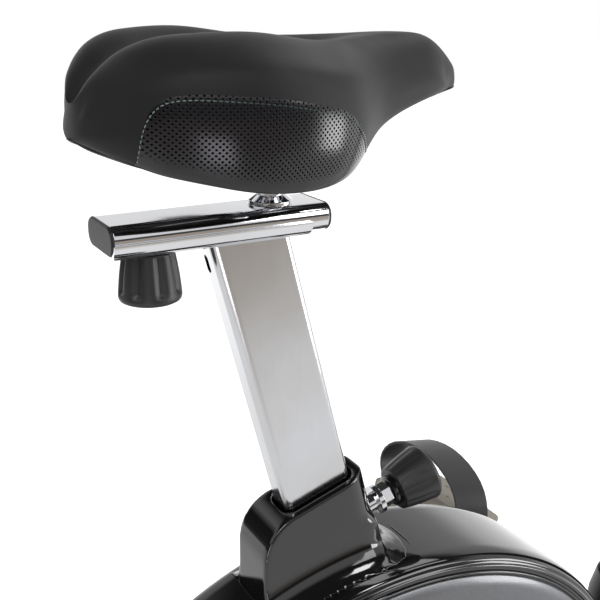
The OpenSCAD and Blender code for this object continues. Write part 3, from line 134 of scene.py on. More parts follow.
def plug(node, sockets):
    """Sets a node's inputs to values, or links them to the outputs of other nodes."""
    for name, value in sockets.items():
        if isinstance(value, bpy.types.NodeSocket):
            node.id_data.links.new(value, node.inputs[name])
        else:
            node.inputs[name].default_value = value


def add(tree, kind, sockets=None, **settings):
    """Adds a node with its settings, and its input values or links."""
    made = tree.nodes.new(kind)
    for name, value in settings.items():
        setattr(made, name, value)
    plug(made, sockets or {})
    return made


def empty_material(name):
    """A material with an empty tree."""
    made = bpy.data.materials.new(name)
    made.use_nodes = True
    made.node_tree.nodes.clear()
    return made


def new_finish(name):
    """The tree, the shader and the object coordinates of a new material."""
    tree = empty_material(name).node_tree
    shader = add(tree, "ShaderNodeBsdfPrincipled")
    add(tree, "ShaderNodeOutputMaterial", {"Surface": shader.outputs[0]})
    return tree, shader, add(tree, "ShaderNodeTexCoord").outputs["Object"]


def surface(bm, across, along, place):
    """Lays a sheet of quads over a form; place(u, v) gives its points in millimetres, u and v from 0 to 1."""
    for vert in bmesh.ops.create_grid(bm, x_segments=across, y_segments=along, size=0.5)["verts"]:
        vert.co = Vector(place(vert.co.x + 0.5, vert.co.y + 0.5)) * MM


def close(bm):
    """Merges the seams and the poles of a form, fills its open ends and turns its faces outwards."""
    bmesh.ops.remove_doubles(bm, verts=bm.verts, dist=WELD)
    ends = [e for e in bm.edges if e.is_boundary]
    if ends:
        bmesh.ops.holes_fill(bm, edges=ends, sides=0)
    bmesh.ops.recalc_face_normals(bm, faces=bm.faces)


def spin_section(bm, points, axis, centre, steps, closed=True):
    """Turns a section, whose points are in millimetres, once round an axis and merges its seam."""
    verts = [bm.verts.new(Vector(point) * MM) for point in points]
    pairs = [*zip(verts, verts[1:]), *([(verts[-1], verts[0])] if closed else [])]
    edges = [bm.edges.new(pair) for pair in pairs]
    bmesh.ops.spin(bm, geom=[*verts, *edges], axis=axis, cent=Vector(centre) * MM, angle=math.tau, steps=steps,
                   use_merge=True)
    bmesh.ops.remove_doubles(bm, verts=bm.verts, dist=WELD)
    bmesh.ops.recalc_face_normals(bm, faces=bm.faces)


def relax(bm, verts, factor):
    """Moves points towards the middle of their neighbours."""
    bmesh.ops.smooth_vert(bm, verts=verts, factor=factor, use_axis_x=True, use_axis_y=True, use_axis_z=True)


def finish_piece(name, bm, node, material, crease=40, stands_in=True):
    """Turns a bmesh into a piece that rides with a CAD part, takes its slot and stands for it."""
    mesh = bpy.data.meshes.new(name)
    bm.to_mesh(mesh)
    bm.free()
    mesh.shade_smooth()
    mesh.set_sharp_from_angle(angle=math.radians(crease))
    piece = bpy.data.objects.new(name, mesh)
    bpy.context.scene.collection.objects.link(piece)
    mesh.materials.append(bpy.data.materials[material])
    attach(piece, BODIES[node])
    if stands_in:
        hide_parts(node)
    return piece


def apply_modifier(piece, modifier):
    bpy.context.view_layer.objects.active = piece
    bpy.ops.object.modifier_apply(modifier=modifier.name)


def merged_copy(node):
    """A bmesh of a CAD part with its loose triangles joined."""
    bm = bmesh.new()
    bm.from_mesh(frame["nodes"][node].data)
    bmesh.ops.remove_doubles(bm, verts=bm.verts, dist=CAD_WELD)
    return bm


def machined_part(node, material, edge, trim):
    """Stands in for a CAD part with whole faces and edges rounded by edge mm; trim lifts its lowest face, in mm."""
    bm = merged_copy(node)
    bmesh.ops.dissolve_limit(bm, angle_limit=math.radians(0.4), verts=bm.verts, edges=bm.edges)
    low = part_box(node)[0][2]
    for vert in bm.verts:
        if vert.co.z < low + 0.5 * trim * MM:
            vert.co.z += trim * MM
    piece = finish_piece(f"{node}_finished", bm, node, material, ALL_SMOOTH if edge else HARD_EDGE)
    if edge:
        bevel = piece.modifiers.new("rounded edges", "BEVEL")
        bevel.width = edge * MM
        bevel.segments = 2
        bevel.limit_method = "ANGLE"
        bevel.angle_limit = math.radians(HARD_EDGE)
    level = piece.modifiers.new("level faces", "WEIGHTED_NORMAL")
    level.keep_sharp = not edge


def cut(piece, bm):
    """Takes the form in bm out of a piece."""
    mesh = bpy.data.meshes.new("cutter")
    bm.to_mesh(mesh)
    bm.free()
    tool = bpy.data.objects.new("cutter", mesh)
    bpy.context.scene.collection.objects.link(tool)
    opening = piece.modifiers.new("opening", "BOOLEAN")
    opening.operation = "DIFFERENCE"
    opening.solver = "EXACT"
    opening.object = tool
    apply_modifier(piece, opening)
    bpy.data.objects.remove(tool)
    bpy.data.meshes.remove(mesh)


def block(low, high, turn=None):
    """A bmesh box between two corners in millimetres, turned about X by turn = (degrees, y, z)."""
    bm = bmesh.new()
    size, middle = Vector(high) - Vector(low), (Vector(high) + Vector(low)) / 2
    place = Matrix.Translation(middle * MM) @ Matrix.Diagonal((*(size * MM), 1))
    if turn:
        about = Matrix.Translation((0, turn[1] * MM, turn[2] * MM))
        place = about @ Matrix.Rotation(math.radians(turn[0]), 4, "X") @ about.inverted() @ place
    bmesh.ops.create_cube(bm, size=1.0, matrix=place)
    return bm


def face_tree(name):
    """The faces of a finished piece, for finding the nearest place on it."""
    bm = bmesh.new()
    bm.from_mesh(bpy.data.objects[name].data)
    tree = BVHTree.FromBMesh(bm)
    bm.free()
    return tree


def press_on(tree, point, lift):
    """The nearest place on a piece to a point, lifted off it by lift mm."""
    hit, normal, _, _ = tree.find_nearest(point * MM)
    return (hit + normal * lift * MM) / MM


# ---------- finishes ----------


def grain(tree, size_mm, depth, detail=3.0, base=None):
    """The normals of a bump from noise whose cells are size_mm across, over a base bump if there is one."""
    place = add(tree, "ShaderNodeTexCoord").outputs["Object"]
    noise = add(tree, "ShaderNodeTexNoise", {"Vector": place, "Scale": 1.0 / (size_mm * MM), "Detail": detail})
    sockets = {"Height": noise.outputs[0], "Strength": depth, "Distance": 0.2 * size_mm * MM}
    if base is not None:
        sockets["Normal"] = base
    return add(tree, "ShaderNodeBump", sockets).outputs[0]


def drifting_finish(name, scale, detail, tones, roughness):
    """A new finish whose colour and roughness drift together over the piece."""
    tree, shader, place = new_finish(name)
    drift = add(tree, "ShaderNodeTexNoise", {"Vector": place, "Scale": scale, "Detail": detail}).outputs[0]
    tone = add(tree, "ShaderNodeMix", {"Factor": drift, "A": tones[0], "B": tones[1]}, data_type="RGBA")
    rough = add(tree, "ShaderNodeMapRange", {"Value": drift, "To Min": roughness[0], "To Max": roughness[1]})
    plug(shader, {"Base Color": tone.outputs["Result"], "Roughness": rough.outputs[0]})
    return tree, shader, place


def finish_chrome(settings):
    """Bright chrome plate on polished steel tube: mirror reflections, a faint warm haze and fine wipe marks."""
    tones = linear(settings.chrome), linear("D2D2D4")
    tree, shader, _ = drifting_finish("chrome_plated_steel", 14.0, 4.0, tones, (0.035, 0.1))
    plug(shader, {"Normal": grain(tree, 30.0, 0.02, 1.0), "Metallic": 1.0})


def finish_satin_chrome():
    """Satin chrome on the seat post: brushed along its length before plating, so that reflections spread and streak."""
    tree, shader, place = new_finish("satin_chrome_steel")
    along = add(tree, "ShaderNodeMapping",
                {"Vector": place, "Scale": (1.0, 1.0, 0.03), "Rotation": (math.radians(-15), 0, 0)})
    lines = add(tree, "ShaderNodeTexNoise", {"Vector": along.outputs[0], "Scale": 900.0, "Detail": 4.0}).outputs[0]
    haze = add(tree, "ShaderNodeTexNoise", {"Vector": place, "Scale": 18.0, "Detail": 4.0}).outputs[0]
    tone = add(tree, "ShaderNodeMix", {"Factor": haze, "A": linear("D8DAE0"), "B": linear("C4C3C2")}, data_type="RGBA")
    rough = add(tree, "ShaderNodeMapRange", {"Value": lines, "To Min": 0.1, "To Max": 0.24})
    brushed = add(tree, "ShaderNodeBump", {"Height": lines, "Strength": 0.04, "Distance": 0.2 * MM})
    plug(shader, {"Base Color": tone.outputs["Result"], "Roughness": rough.outputs[0], "Normal": brushed.outputs[0],
                  "Metallic": 1.0})


def finish_plastic(name, code, roughness, cell, depth, wave=0.0):
    """A moulded plastic: its colour drifts a little, its skin has a fine spark-eroded grain and a long slight wave."""
    base = linear(code)
    lighter = tuple(min(c * 1.25 + 0.001, 1.0) for c in base[:3]) + (1.0,)
    tree, shader, _ = drifting_finish(name, 22.0, 5.0, (base, lighter), roughness)
    skin = grain(tree, cell, depth)
    if wave:
        skin = grain(tree, 45.0, wave, 1.0, skin)
    plug(shader, {"Normal": skin, "IOR": 1.5})
    return shader


def finish_metal(name, code, roughness, cell, depth):
    """A plain metal surface with the marks of how it was made."""
    base = linear(code)
    darker = tuple(c * 0.72 for c in base[:3]) + (1.0,)
    tree, shader, _ = drifting_finish(name, 60.0, 6.0, (base, darker), roughness)
    plug(shader, {"Normal": grain(tree, cell, depth), "Metallic": 1.0})


def finish_cover(settings):
    """Matt synthetic leather: near black, a soft sheen where it turns away, and a fine pebble grain.

    The real grain is about 0.3 mm; 0.7 mm is the finest that still shows."""
    tones = linear(settings.cover), linear("18181A")
    tree, shader, place = drifting_finish("synthetic_leather_matt", 30.0, 4.0, tones, (0.5, 0.62))
    cells = add(tree, "ShaderNodeTexVoronoi", {"Vector": place, "Scale": 1.0 / (0.7 * MM)}, feature="DISTANCE_TO_EDGE")
    pebble = add(tree, "ShaderNodeBump", {"Height": cells.outputs[0], "Strength": 0.12, "Distance": 0.1 * MM})
    plug(shader, {"Normal": pebble.outputs[0], "Sheen Weight": 0.08, "Sheen Roughness": 0.45,
                  "Specular IOR Level": 0.3, "IOR": 1.45})


def finish_perforated(settings):
    """Glossy coated vinyl with punched holes on a diagonal grid, read from the patch's own map in millimetres.

    The lowest 8 to 13 mm, where the patch wraps under, have no holes."""
    tree, shader, _ = new_finish("gloss_vinyl_perforated")
    spots = add(tree, "ShaderNodeUVMap", uv_map="patch_mm").outputs[0]
    turn = add(tree, "ShaderNodeMapping", {"Vector": spots, "Rotation": (0, 0, math.radians(45))}).outputs[0]
    per_mm = 1 / settings.hole_pitch
    cell = add(tree, "ShaderNodeVectorMath", {0: turn, 1: (per_mm, per_mm, 0)}, operation="MULTIPLY").outputs[0]
    part = add(tree, "ShaderNodeVectorMath", {0: cell}, operation="FRACTION").outputs[0]
    mid = add(tree, "ShaderNodeVectorMath", {0: part, 1: (0.5, 0.5, 0)}, operation="SUBTRACT").outputs[0]
    reach = add(tree, "ShaderNodeVectorMath", {0: mid}, operation="LENGTH").outputs["Value"]
    edge = 0.5 * settings.hole / settings.hole_pitch
    punched = add(tree, "ShaderNodeMapRange", {"Value": reach, "From Min": edge * 0.8, "From Max": edge * 1.25},
                  interpolation_type="SMOOTHSTEP")
    heights = add(tree, "ShaderNodeUVMap", uv_map="above_rim_mm").outputs[0]
    above = add(tree, "ShaderNodeSeparateXYZ", {0: heights}).outputs["X"]
    plain = add(tree, "ShaderNodeMapRange",
                {"Value": above, "From Min": 8.0, "From Max": 13.0, "To Min": 1.0, "To Max": 0.0})
    hole = add(tree, "ShaderNodeMath", {0: punched.outputs[0], 1: plain.outputs[0]}, operation="MAXIMUM").outputs[0]
    tone = add(tree, "ShaderNodeMix", {"Factor": hole, "A": linear("010101"), "B": linear("0E0D12")}, data_type="RGBA")
    rough = add(tree, "ShaderNodeMapRange", {"Value": hole, "To Min": 0.9, "To Max": 0.22})
    gloss = add(tree, "ShaderNodeMapRange", {"Value": hole, "To Min": 0.0, "To Max": 0.55})
    dent = add(tree, "ShaderNodeBump", {"Height": hole, "Strength": 0.5, "Distance": 0.3 * MM})
    plug(shader, {"Base Color": tone.outputs["Result"], "Roughness": rough.outputs[0],
                  "Specular IOR Level": gloss.outputs[0], "Normal": dent.outputs[0]})


def finish_grey_panel(settings):
    """Metallic grey lacquer on moulded ABS under a clear coat: fine flakes glint, the coat reflects softly."""
    tree, shader, place = new_finish("abs_metallic_lacquer")
    flakes = add(tree, "ShaderNodeTexVoronoi", {"Vector": place, "Scale": 1.0 / (0.5 * MM)}).outputs["Color"]
    tone = add(tree, "ShaderNodeMix", {"Factor": flakes, "A": linear(settings.grey), "B": linear("707174")},
               data_type="RGBA")
    plug(shader, {"Base Color": tone.outputs["Result"], "Metallic": 0.55, "Roughness": 0.34, "Coat Weight": 0.3,
                  "Coat Roughness": 0.12, "Normal": grain(tree, 0.6, 0.04)})


def finish_thread(settings):
    """Bonded polyester sewing thread, dull: pale grey-green at the rear and dark green ahead."""
    tree, shader, place = new_finish("polyester_thread")
    along = add(tree, "ShaderNodeSeparateXYZ", {0: place}).outputs["Y"]
    ahead = add(tree, "ShaderNodeMapRange", {"Value": along, "From Min": 0.215, "From Max": 0.17}).outputs[0]
    fibre = add(tree, "ShaderNodeTexNoise", {"Vector": place, "Scale": 2500.0, "Detail": 2.0}).outputs[0]
    tone = add(tree, "ShaderNodeMix", {"Factor": ahead, "A": linear(settings.thread), "B": linear("2F4A3C")},
               data_type="RGBA").outputs["Result"]
    shaded = add(tree, "ShaderNodeMix", {"Factor": fibre, "A": tone, "B": linear("141A17")}, data_type="RGBA")
    plug(shader, {"Base Color": shaded.outputs["Result"], "Roughness": 0.6, "Normal": grain(tree, 0.4, 0.2)})


# Parts that keep their shape and get whole faces and rounded edges: finish, part and edge radius in millimetres.
MACHINED = {
    "satin_chrome_steel": {"seat_post": 0.5},
    "chrome_plated_steel": {"slider_channel": 0.6, "slider_tube": 0.4, "saddle_clamp": 0.8,
                            "pin_housing": 0.5, "height_plunger": 0.5},
    "nylon_satin_moulded": {"front_foot_caps": 1.5, "rear_foot_caps": 1.5, "post_sleeve": 0.5, "mast_shroud": 1.2,
                            "console_back": 2.0, "console_front": 2.0, "handlebar_clamp_cover": 1.2,
                            "slider_end_caps": 0.8, "saddle_clamp_cheeks": 1.0, "saddle_pan": 0.0, "crank_caps": 0.8,
                            "handlebar_knob": 0.6, "left_button": 0.6, "right_button": 0.6,
                            "left_transport_wheel": 1.0, "right_transport_wheel": 1.0},
    "powder_coat_black": {"main_frame": 0.6, "front_stabiliser": 0.6, "rear_stabiliser": 0.6, "mast": 0.5,
                          "left_crank": 1.4, "right_crank": 1.4, "handlebar": 0.0},
    "zinc_plated_steel": {"frame_bolts": 0.4, "casing_screws": 0.3, "pedal_axles": 0.5,
                          "slider_knob_stud": 0.4},
    "rubber_moulded": {"handlebar_grips": 1.0},
    "nylon_pedal_speckled": {"left_pedal": 0.9, "right_pedal": 0.9},
    "pvc_strap_embossed": {"left_strap": 0.7, "right_strap": 0.7},
    "acrylic_window_tinted": {"display_lens": 0.4},
}
# How far the lowest face of such a part is lifted clear of its neighbour, in millimetres.
TRIMMED = {"saddle_clamp_cheeks": 3.0}
# Parts that another piece stands for, or that nothing shows.
OTHERS = {
    "abs_gloss_moulded": "casing_right casing_left seat_collar",
    "abs_metallic_lacquer": "side_panel_right side_panel_left",
    "nylon_satin_moulded": "tension_motor slider_knob height_knob drive_pulley",
    "zinc_plated_steel": "cartridge_bearings slider_nut_plate saddle_rails plunger_spring crank_axle flywheel_shaft "
    "magnet_arm brake_magnets",
    "cast_iron_turned": "flywheel",
    "rubber_moulded": "drive_belt",
    "synthetic_leather_matt": "saddle_cover",
    "gloss_vinyl_perforated": "saddle_side_panels",
}


class BIKE_OT_finishes(bpy.types.Operator):
    """Makes every finish and gives the CAD parts theirs"""

    bl_idname = "bike.finishes"
    bl_label = "Finishes"

    def execute(self, context):
        colours, saddle = context.scene.bike_finishes, context.scene.bike_saddle
        finish_chrome(colours)
        finish_satin_chrome()
        finish_cover(saddle)
        finish_perforated(saddle)
        finish_thread(saddle)
        finish_grey_panel(colours)
        # Filled nylon of the pedals: warm grey, speckled, dull.
        finish_plastic("nylon_pedal_speckled", "8E877C", (0.55, 0.7), 1.2, 0.3)
        # Gloss ABS from a polished mould: deep black with sharp highlights and a slight orange peel.
        gloss = finish_plastic("abs_gloss_moulded", colours.gloss, (0.05, 0.09), 3.0, 0.008, 0.015)
        plug(gloss, {"Specular IOR Level": 0.75})
        # Glass-filled nylon from a textured mould: satin black with broad soft highlights.
        finish_plastic("nylon_satin_moulded", colours.satin, (0.38, 0.5), 0.8, 0.1)
        # Soft rubber: dull and slightly grey.
        finish_plastic("rubber_moulded", "202022", (0.6, 0.75), 1.0, 0.15)
        # Powder coat on steel: even black with a fine orange peel.
        finish_plastic("powder_coat_black", "151517", (0.3, 0.42), 1.6, 0.12)
        # Embossed PVC of the pedal straps: grey-black, soft gloss.
        finish_plastic("pvc_strap_embossed", "2A2A2C", (0.42, 0.55), 1.5, 0.25)
        # Tinted acrylic window over a grey display: smooth and dark green-grey.
        finish_plastic("acrylic_window_tinted", "3A4139", (0.05, 0.09), 8.0, 0.004)
        # Bright zinc on screws and shafts: pale grey with a soft shine.
        finish_metal("zinc_plated_steel", "B4B5B6", (0.22, 0.38), 0.9, 0.12)
        # Turned cast iron under thin paint: dark and mottled.
        finish_metal("cast_iron_turned", "3C3C3E", (0.38, 0.55), 1.5, 0.3)
        others = {material: names.split() for material, names in OTHERS.items()}
        for material, names in (*MACHINED.items(), *others.items()):
            for name in names:
                mesh = frame["nodes"][name].data
                mesh.materials.clear()
                mesh.materials.append(bpy.data.materials[material])
        return {"FINISHED"}


# ---------- saddle ----------

# The saddle's form at seven equal stations from its rear to its nose, in millimetres: half widths, heights of the crown
# and of the lower edge above the slider, and depths of the centre groove.
SADDLE_REAR, SADDLE_LENGTH, SLIDER_Z = 259.0, 321.0, 850.0
HALF_WIDTHS = (82, 98, 105, 93, 54, 32, 9)
CROWNS = (122.6, 130.3, 133.8, 126.6, 124.7, 124.2, 118)
RIMS = (64.5, 47.4, 36.8, 39.8, 65, 79, 85)
GROOVES = (12, 16, 25, 16, 3, 0, 0)
# Stations, as shares of the length, between which the outline runs straight; past them it rounds off.
TAIL_ROUND, NOSE_ROUND, NOSE_SPAN = 0.41, 0.84, 0.16
POINTED = 4e-4
TAIL_FALL, NOSE_FALL = 32, 30
# Share of the half section that is the top; the rest is the wall.
SHOULDER = 0.7
TOP_DROP, WALL_BULGE = 24, 4.0
# How far the ends tuck in below a height.
TAIL_TUCK, TAIL_BULGE_Z = 10.5, 961.5
NOSE_TUCK, NOSE_TIP_Z = 8.0, 952.0
FOAM = 20.0
# Faces round a section and along the saddle, and the share of a section that is skin and not hollow.
SECTION, LENGTHWISE, SKIN = 90, 80, 0.6
FOAM_FRAMES = 20


def saddle_half(k):
    """Half width at station k, which runs from 0 at the rear to 1 at the nose."""
    rear = max(1 - max(1 - k / TAIL_ROUND, 0) ** 2.6, POINTED) ** 0.5
    nose = max(1 - max((k - NOSE_ROUND) / NOSE_SPAN, 0) ** 2, POINTED) ** 0.5
    return spline(HALF_WIDTHS, k) * rear * nose


def saddle_crown(k):
    nose_fall = NOSE_FALL * max((k - NOSE_ROUND) / NOSE_SPAN, 0) ** 2
    return SLIDER_Z + spline(CROWNS, k) - nose_fall - TAIL_FALL * max(1 - k / 0.2, 0) ** 2


def saddle_rim(k):
    return SLIDER_Z + spline(RIMS, k)


def above_rim(spot):
    """Height of a place above the saddle's lower edge, in millimetres."""
    return spot.z / MM - saddle_rim((SADDLE_REAR - spot.y / MM) / SADDLE_LENGTH)


def saddle_skin(k, q):
    """A point of the skin at station k; q runs from -1 at the right rim over the top to 1 at the left rim."""
    half, crown, rim = saddle_half(k), saddle_crown(k), saddle_rim(k)
    drop = min(TOP_DROP, (crown - rim) * 0.72)
    side = math.copysign(1, q)
    share = min(abs(q) / SHOULDER, 1)
    groove = max(spline(GROOVES, k), 0)
    z = crown - drop * share**3.2 - groove * math.exp(-((share / 0.35) ** 2))
    wall = max((abs(q) - SHOULDER) / (1 - SHOULDER), 0)
    bulge = WALL_BULGE * math.sin(math.pi * wall) * min(1, half / 60)
    x = half * share - min(5, half * 0.2) * wall**2 + bulge
    height = mix(z, rim, wall)
    tuck = TAIL_TUCK * smooth((TAIL_BULGE_Z - height) / 30) * max(1 - k / 0.14, 0)
    tuck -= NOSE_TUCK * smooth((NOSE_TIP_Z - height) / 18) * smooth((k - 0.86) / 0.12)
    return Vector((side * x, SADDLE_REAR - SADDLE_LENGTH * k - tuck, height))


def saddle_inside(k, q):
    """A point of the hollow under the foam."""
    half, crown, rim = saddle_half(k), saddle_crown(k), saddle_rim(k)
    width = max(half - 9, half * 0.75)
    skin = saddle_skin(k, q)
    hollow = smooth((k - 0.1) / 0.14) * smooth((0.93 - k) / 0.12)
    z = mix(rim, min(max(skin.z - FOAM, rim + 1.5), crown - 9), hollow)
    return Vector((skin.x / max(half, 1) * width, skin.y, z))


def saddle_loop(u, v):
    """A point of the closed section: over the skin and back through the hollow."""
    k = 0.5 - 0.5 * math.cos(math.pi * mix(0.012, 0.985, v))
    if u < SKIN + 0.0001 or u > 0.9999:
        point = saddle_skin(k, -1 + 2 * round(u * SECTION) / SECTION / SKIN if u < SKIN + 0.0001 else -1.0)
    else:
        point = saddle_inside(k, 1 - 2 * (u - SKIN) / (1 - SKIN))
    if v < 0.0001:
        point.x = 0
    return point


def swell(piece, reach):
    """The soft pass: the foam presses the cover outwards, and no point moves further than reach."""
    scene = bpy.context.scene
    before = [v.co.copy() for v in piece.data.vertices]
    cloth = piece.modifiers.new("foam", "CLOTH")
    cloth.settings.use_pressure = True
    cloth.settings.uniform_pressure_force = 4.0
    cloth.settings.effector_weights.gravity = 0.0
    cloth.settings.tension_stiffness = 20.0
    cloth.settings.compression_stiffness = 20.0
    cloth.settings.bending_stiffness = 4.0
    cloth.point_cache.frame_start = 1
    cloth.point_cache.frame_end = FOAM_FRAMES
    for step in range(1, FOAM_FRAMES + 1):
        scene.frame_set(step)
    pressed = piece.evaluated_get(bpy.context.evaluated_depsgraph_get())
    after = [v.co.copy() for v in pressed.to_mesh().vertices]
    pressed.to_mesh_clear()
    piece.modifiers.remove(cloth)
    scene.frame_set(1)
    for vert, old, new in zip(piece.data.vertices, before, after):
        move = new - old
        limit = reach * smooth((above_rim(old) - 2) / 26)
        if move.length > limit:
            move *= limit / move.length
        vert.co = old + move


class BIKE_OT_saddle_cover(bpy.types.Operator):
    """Makes the padded saddle with its centre groove"""

    bl_idname = "bike.saddle_cover"
    bl_label = "Saddle cover"

    def execute(self, context):
        bm = bmesh.new()
        surface(bm, SECTION, LENGTHWISE, saddle_loop)
        close(bm)
        bmesh.ops.poke(bm, faces=[f for f in bm.faces if len(f.verts) > 8])
        if any(not e.is_manifold for e in bm.edges):
            raise RuntimeError("the saddle's form is open")
        ends = [v for v in bm.verts if not -0.052 < v.co.y < 0.243]
        for verts in (bm.verts, ends, ends, ends, ends, ends):
            relax(bm, verts, 0.35)
        piece = finish_piece("saddle_cover_padded", bm, "saddle_cover", "synthetic_leather_matt", ALL_SMOOTH)
        swell(piece, context.scene.bike_saddle.swell * MM)
        detail = piece.modifiers.new("fine form", "SUBSURF")
        detail.levels = detail.render_levels = 1
        apply_modifier(piece, detail)
        piece.data.shade_smooth()
        return {"FINISHED"}


# Stations between which a side patch lies.
PATCH_REAR, PATCH_FRONT = 0.092, 0.582
# How far a patch stands off the cover at its edge and inside it, in millimetres.
PATCH_EDGE_LIFT, PATCH_LIFT = 0.22, 0.32
STITCH_GAP, STITCH_HALF_WIDTH, STITCH_HALF_HEIGHT = 0.75, 0.42, 0.36


def seam_height(k):
    """How far down the wall the stitched seam lies at station k, from 0 at the shoulder to 1 at the rim."""
    base = 0.18 + 0.42 * (k - 0.152)
    rear = max(1 - max((k - PATCH_REAR) / 0.06, 0) ** 0.35, 0) ** 1.78
    front = max(1 - (PATCH_FRONT - k) / 0.14, 0) ** 2.4
    return mix(base, 1.0, min(max(rear, front), 1.0))


def patch_spot(side, u, v):
    """A point of a patch; u runs from its rear to its front, v from just above its seam down to the rim."""
    k = mix(PATCH_REAR - 0.004, PATCH_FRONT + 0.006, mix(u * u * (2 - u), u, u))
    top = max(seam_height(min(max(k, PATCH_REAR), PATCH_FRONT)) - 0.05, 0)
    return saddle_skin(k, side * mix(SHOULDER, 1.0, mix(top, 1.0, v)))


class BIKE_OT_saddle_patches(bpy.types.Operator):
    """Makes the glossy perforated side patches"""

    bl_idname = "bike.saddle_patches"
    bl_label = "Saddle side patches"

    def execute(self, context):
        tree = face_tree("saddle_cover_padded")
        for side, word in SIDES:
            bm = bmesh.new()
            surface(bm, 110, 44, lambda u, v: patch_spot(side, u, v))
            flat = bm.loops.layers.uv.new("patch_mm")
            heights = bm.loops.layers.uv.new("above_rim_mm")
            for face in bm.faces:
                for loop in face.loops:
                    spot = loop.vert.co
                    loop[flat].uv = (spot.y / MM, spot.z / MM)
                    loop[heights].uv = (above_rim(spot), 0)
            for vert in bm.verts:
                lift = PATCH_EDGE_LIFT if vert.is_boundary else PATCH_LIFT
                vert.co = press_on(tree, vert.co / MM, lift) * MM
            bmesh.ops.recalc_face_normals(bm, faces=bm.faces)
            if sum(f.normal.x * f.calc_area() for f in bm.faces) * side < 0:
                bmesh.ops.reverse_faces(bm, faces=bm.faces)
            finish_piece(f"saddle_patch_{word}", bm, "saddle_side_panels", "gloss_vinyl_perforated", 60)
        return {"FINISHED"}


def seam_line(side, steps=3000):
    """The stitched seam: up the patch's rear end, along its top and down its front end."""
    stations = [mix(PATCH_REAR, PATCH_FRONT, (i / steps) ** 1.5) for i in range(steps + 1)]
    return [saddle_skin(k, side * mix(SHOULDER, 1.0, seam_height(k))) for k in stations if seam_height(k) < 0.94]


class BIKE_OT_saddle_stitches(bpy.types.Operator):
    """Sews the green stitches along the seams of the patches"""

    bl_idname = "bike.saddle_stitches"
    bl_label = "Saddle stitches"

    def execute(self, context):
        length = context.scene.bike_saddle.stitch
        for side, word in SIDES:
            tree = face_tree(f"saddle_patch_{word}")
            line = [press_on(tree, spot, 0.1) for spot in seam_line(side)]
            bm = bmesh.new()
            travelled, due = 0.0, 0.6
            for a, b in zip(line, line[1:]):
                travelled += (b - a).length
                if travelled < due:
                    continue
                due = travelled + length + STITCH_GAP
                along = (b - a).normalized()
                normal = tree.find_nearest(b * MM)[1]
                if normal.x * side < 0:
                    normal = -normal
                across = along.cross(normal).normalized()
                turn = Matrix((along, across, normal)).transposed().to_4x4()
                shape = Matrix.Diagonal((length / 2, STITCH_HALF_WIDTH, STITCH_HALF_HEIGHT, 1))
                place = Matrix.Translation(b * MM) @ turn @ shape @ Matrix.Scale(MM, 4)
                bmesh.ops.create_uvsphere(bm, u_segments=8, v_segments=6, radius=1.0, matrix=place)
            finish_piece(f"saddle_stitches_{word}", bm, "saddle_side_panels", "polyester_thread", ALL_SMOOTH, False)
        return {"FINISHED"}


RAIL_RADIUS = 3.5


class BIKE_OT_saddle_rails(bpy.types.Operator):
    """Bends the two round rails, tucked up into the shell at the nose"""

    bl_idname = "bike.saddle_rails"
    bl_label = "Saddle rails"

    def execute(self, context):
        low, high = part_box("saddle_rails")
        level, rear = low[2] / MM + RAIL_RADIUS, high[1] / MM
        pivot = JOINTS["saddle_tilt"]["pos_m"][1] / MM
        # Knots of a rail from the nose to the rear: off the centre line, along the saddle and up.
        stops = ((12, pivot - 78, level + 38), (18, pivot - 58, level + 18), (22, pivot - 34, level),
                 (22, pivot + 26, level), (30, pivot + 52, level + 14), (36, rear - 8, level + 34))
        for side, word in SIDES:
            bend = bpy.data.curves.new("rail", "CURVE")
            bend.dimensions = "3D"
            bend.bevel_depth = RAIL_RADIUS * MM
            bend.bevel_resolution = 4
            bend.resolution_u = 12
            bend.use_fill_caps = True
            wire = bend.splines.new("BEZIER")
            wire.bezier_points.add(len(stops) - 1)
            for knot, (x, y, z) in zip(wire.bezier_points, stops):
                knot.co = Vector((side * x, y, z)) * MM
                knot.handle_left_type = knot.handle_right_type = "AUTO"
            shape = bpy.data.objects.new("rail", bend)
            context.scene.collection.objects.link(shape)
            bm = bmesh.new()
            bm.from_mesh(bpy.data.meshes.new_from_object(shape))
            bpy.data.objects.remove(shape)
            finish_piece(f"saddle_rail_{word}", bm, "saddle_rails", "zinc_plated_steel")
        return {"FINISHED"}


# ---------- casing and collar ----------

CRANK_Y, CRANK_Z, CRANK_HOLE = -90.0, 300.0, 27.0
CASING_Y, CASING_Z, CASING_A, CASING_C = 8.0, 296.0, 290.0, 251.0
CASING_HALF, CASING_WALL, PANEL_DOME = 52.0, 2.5, 12.0
PANEL_INSET, PANEL_GAP = 20.0, 0.3
POST_LEAN = math.degrees(math.atan2(JOINTS["seat_height"]["axis"][1], JOINTS["seat_height"]["axis"][2]))
# Height and place along Y of the middle of the post's top.
POST_TOP_Y, POST_TOP_Z = 127, 837.2
# Opposite corners of the slots that the base beam and the post's tube pass through.
BEAM_SLOT = (-27, -420, 60), (27, 420, 118)
POST_SLOT = (-21, POST_TOP_Y - 38, 440), (21, POST_TOP_Y + 38, 580)
# The dome's section from the middle of the panel to its edge, as shares of the way.
PANEL_SHARES = (0.0, 0.05, 0.1, 0.2, 0.3, 0.4, 0.5, 0.6, 0.7, 0.78, 0.85, 0.91, 0.96)


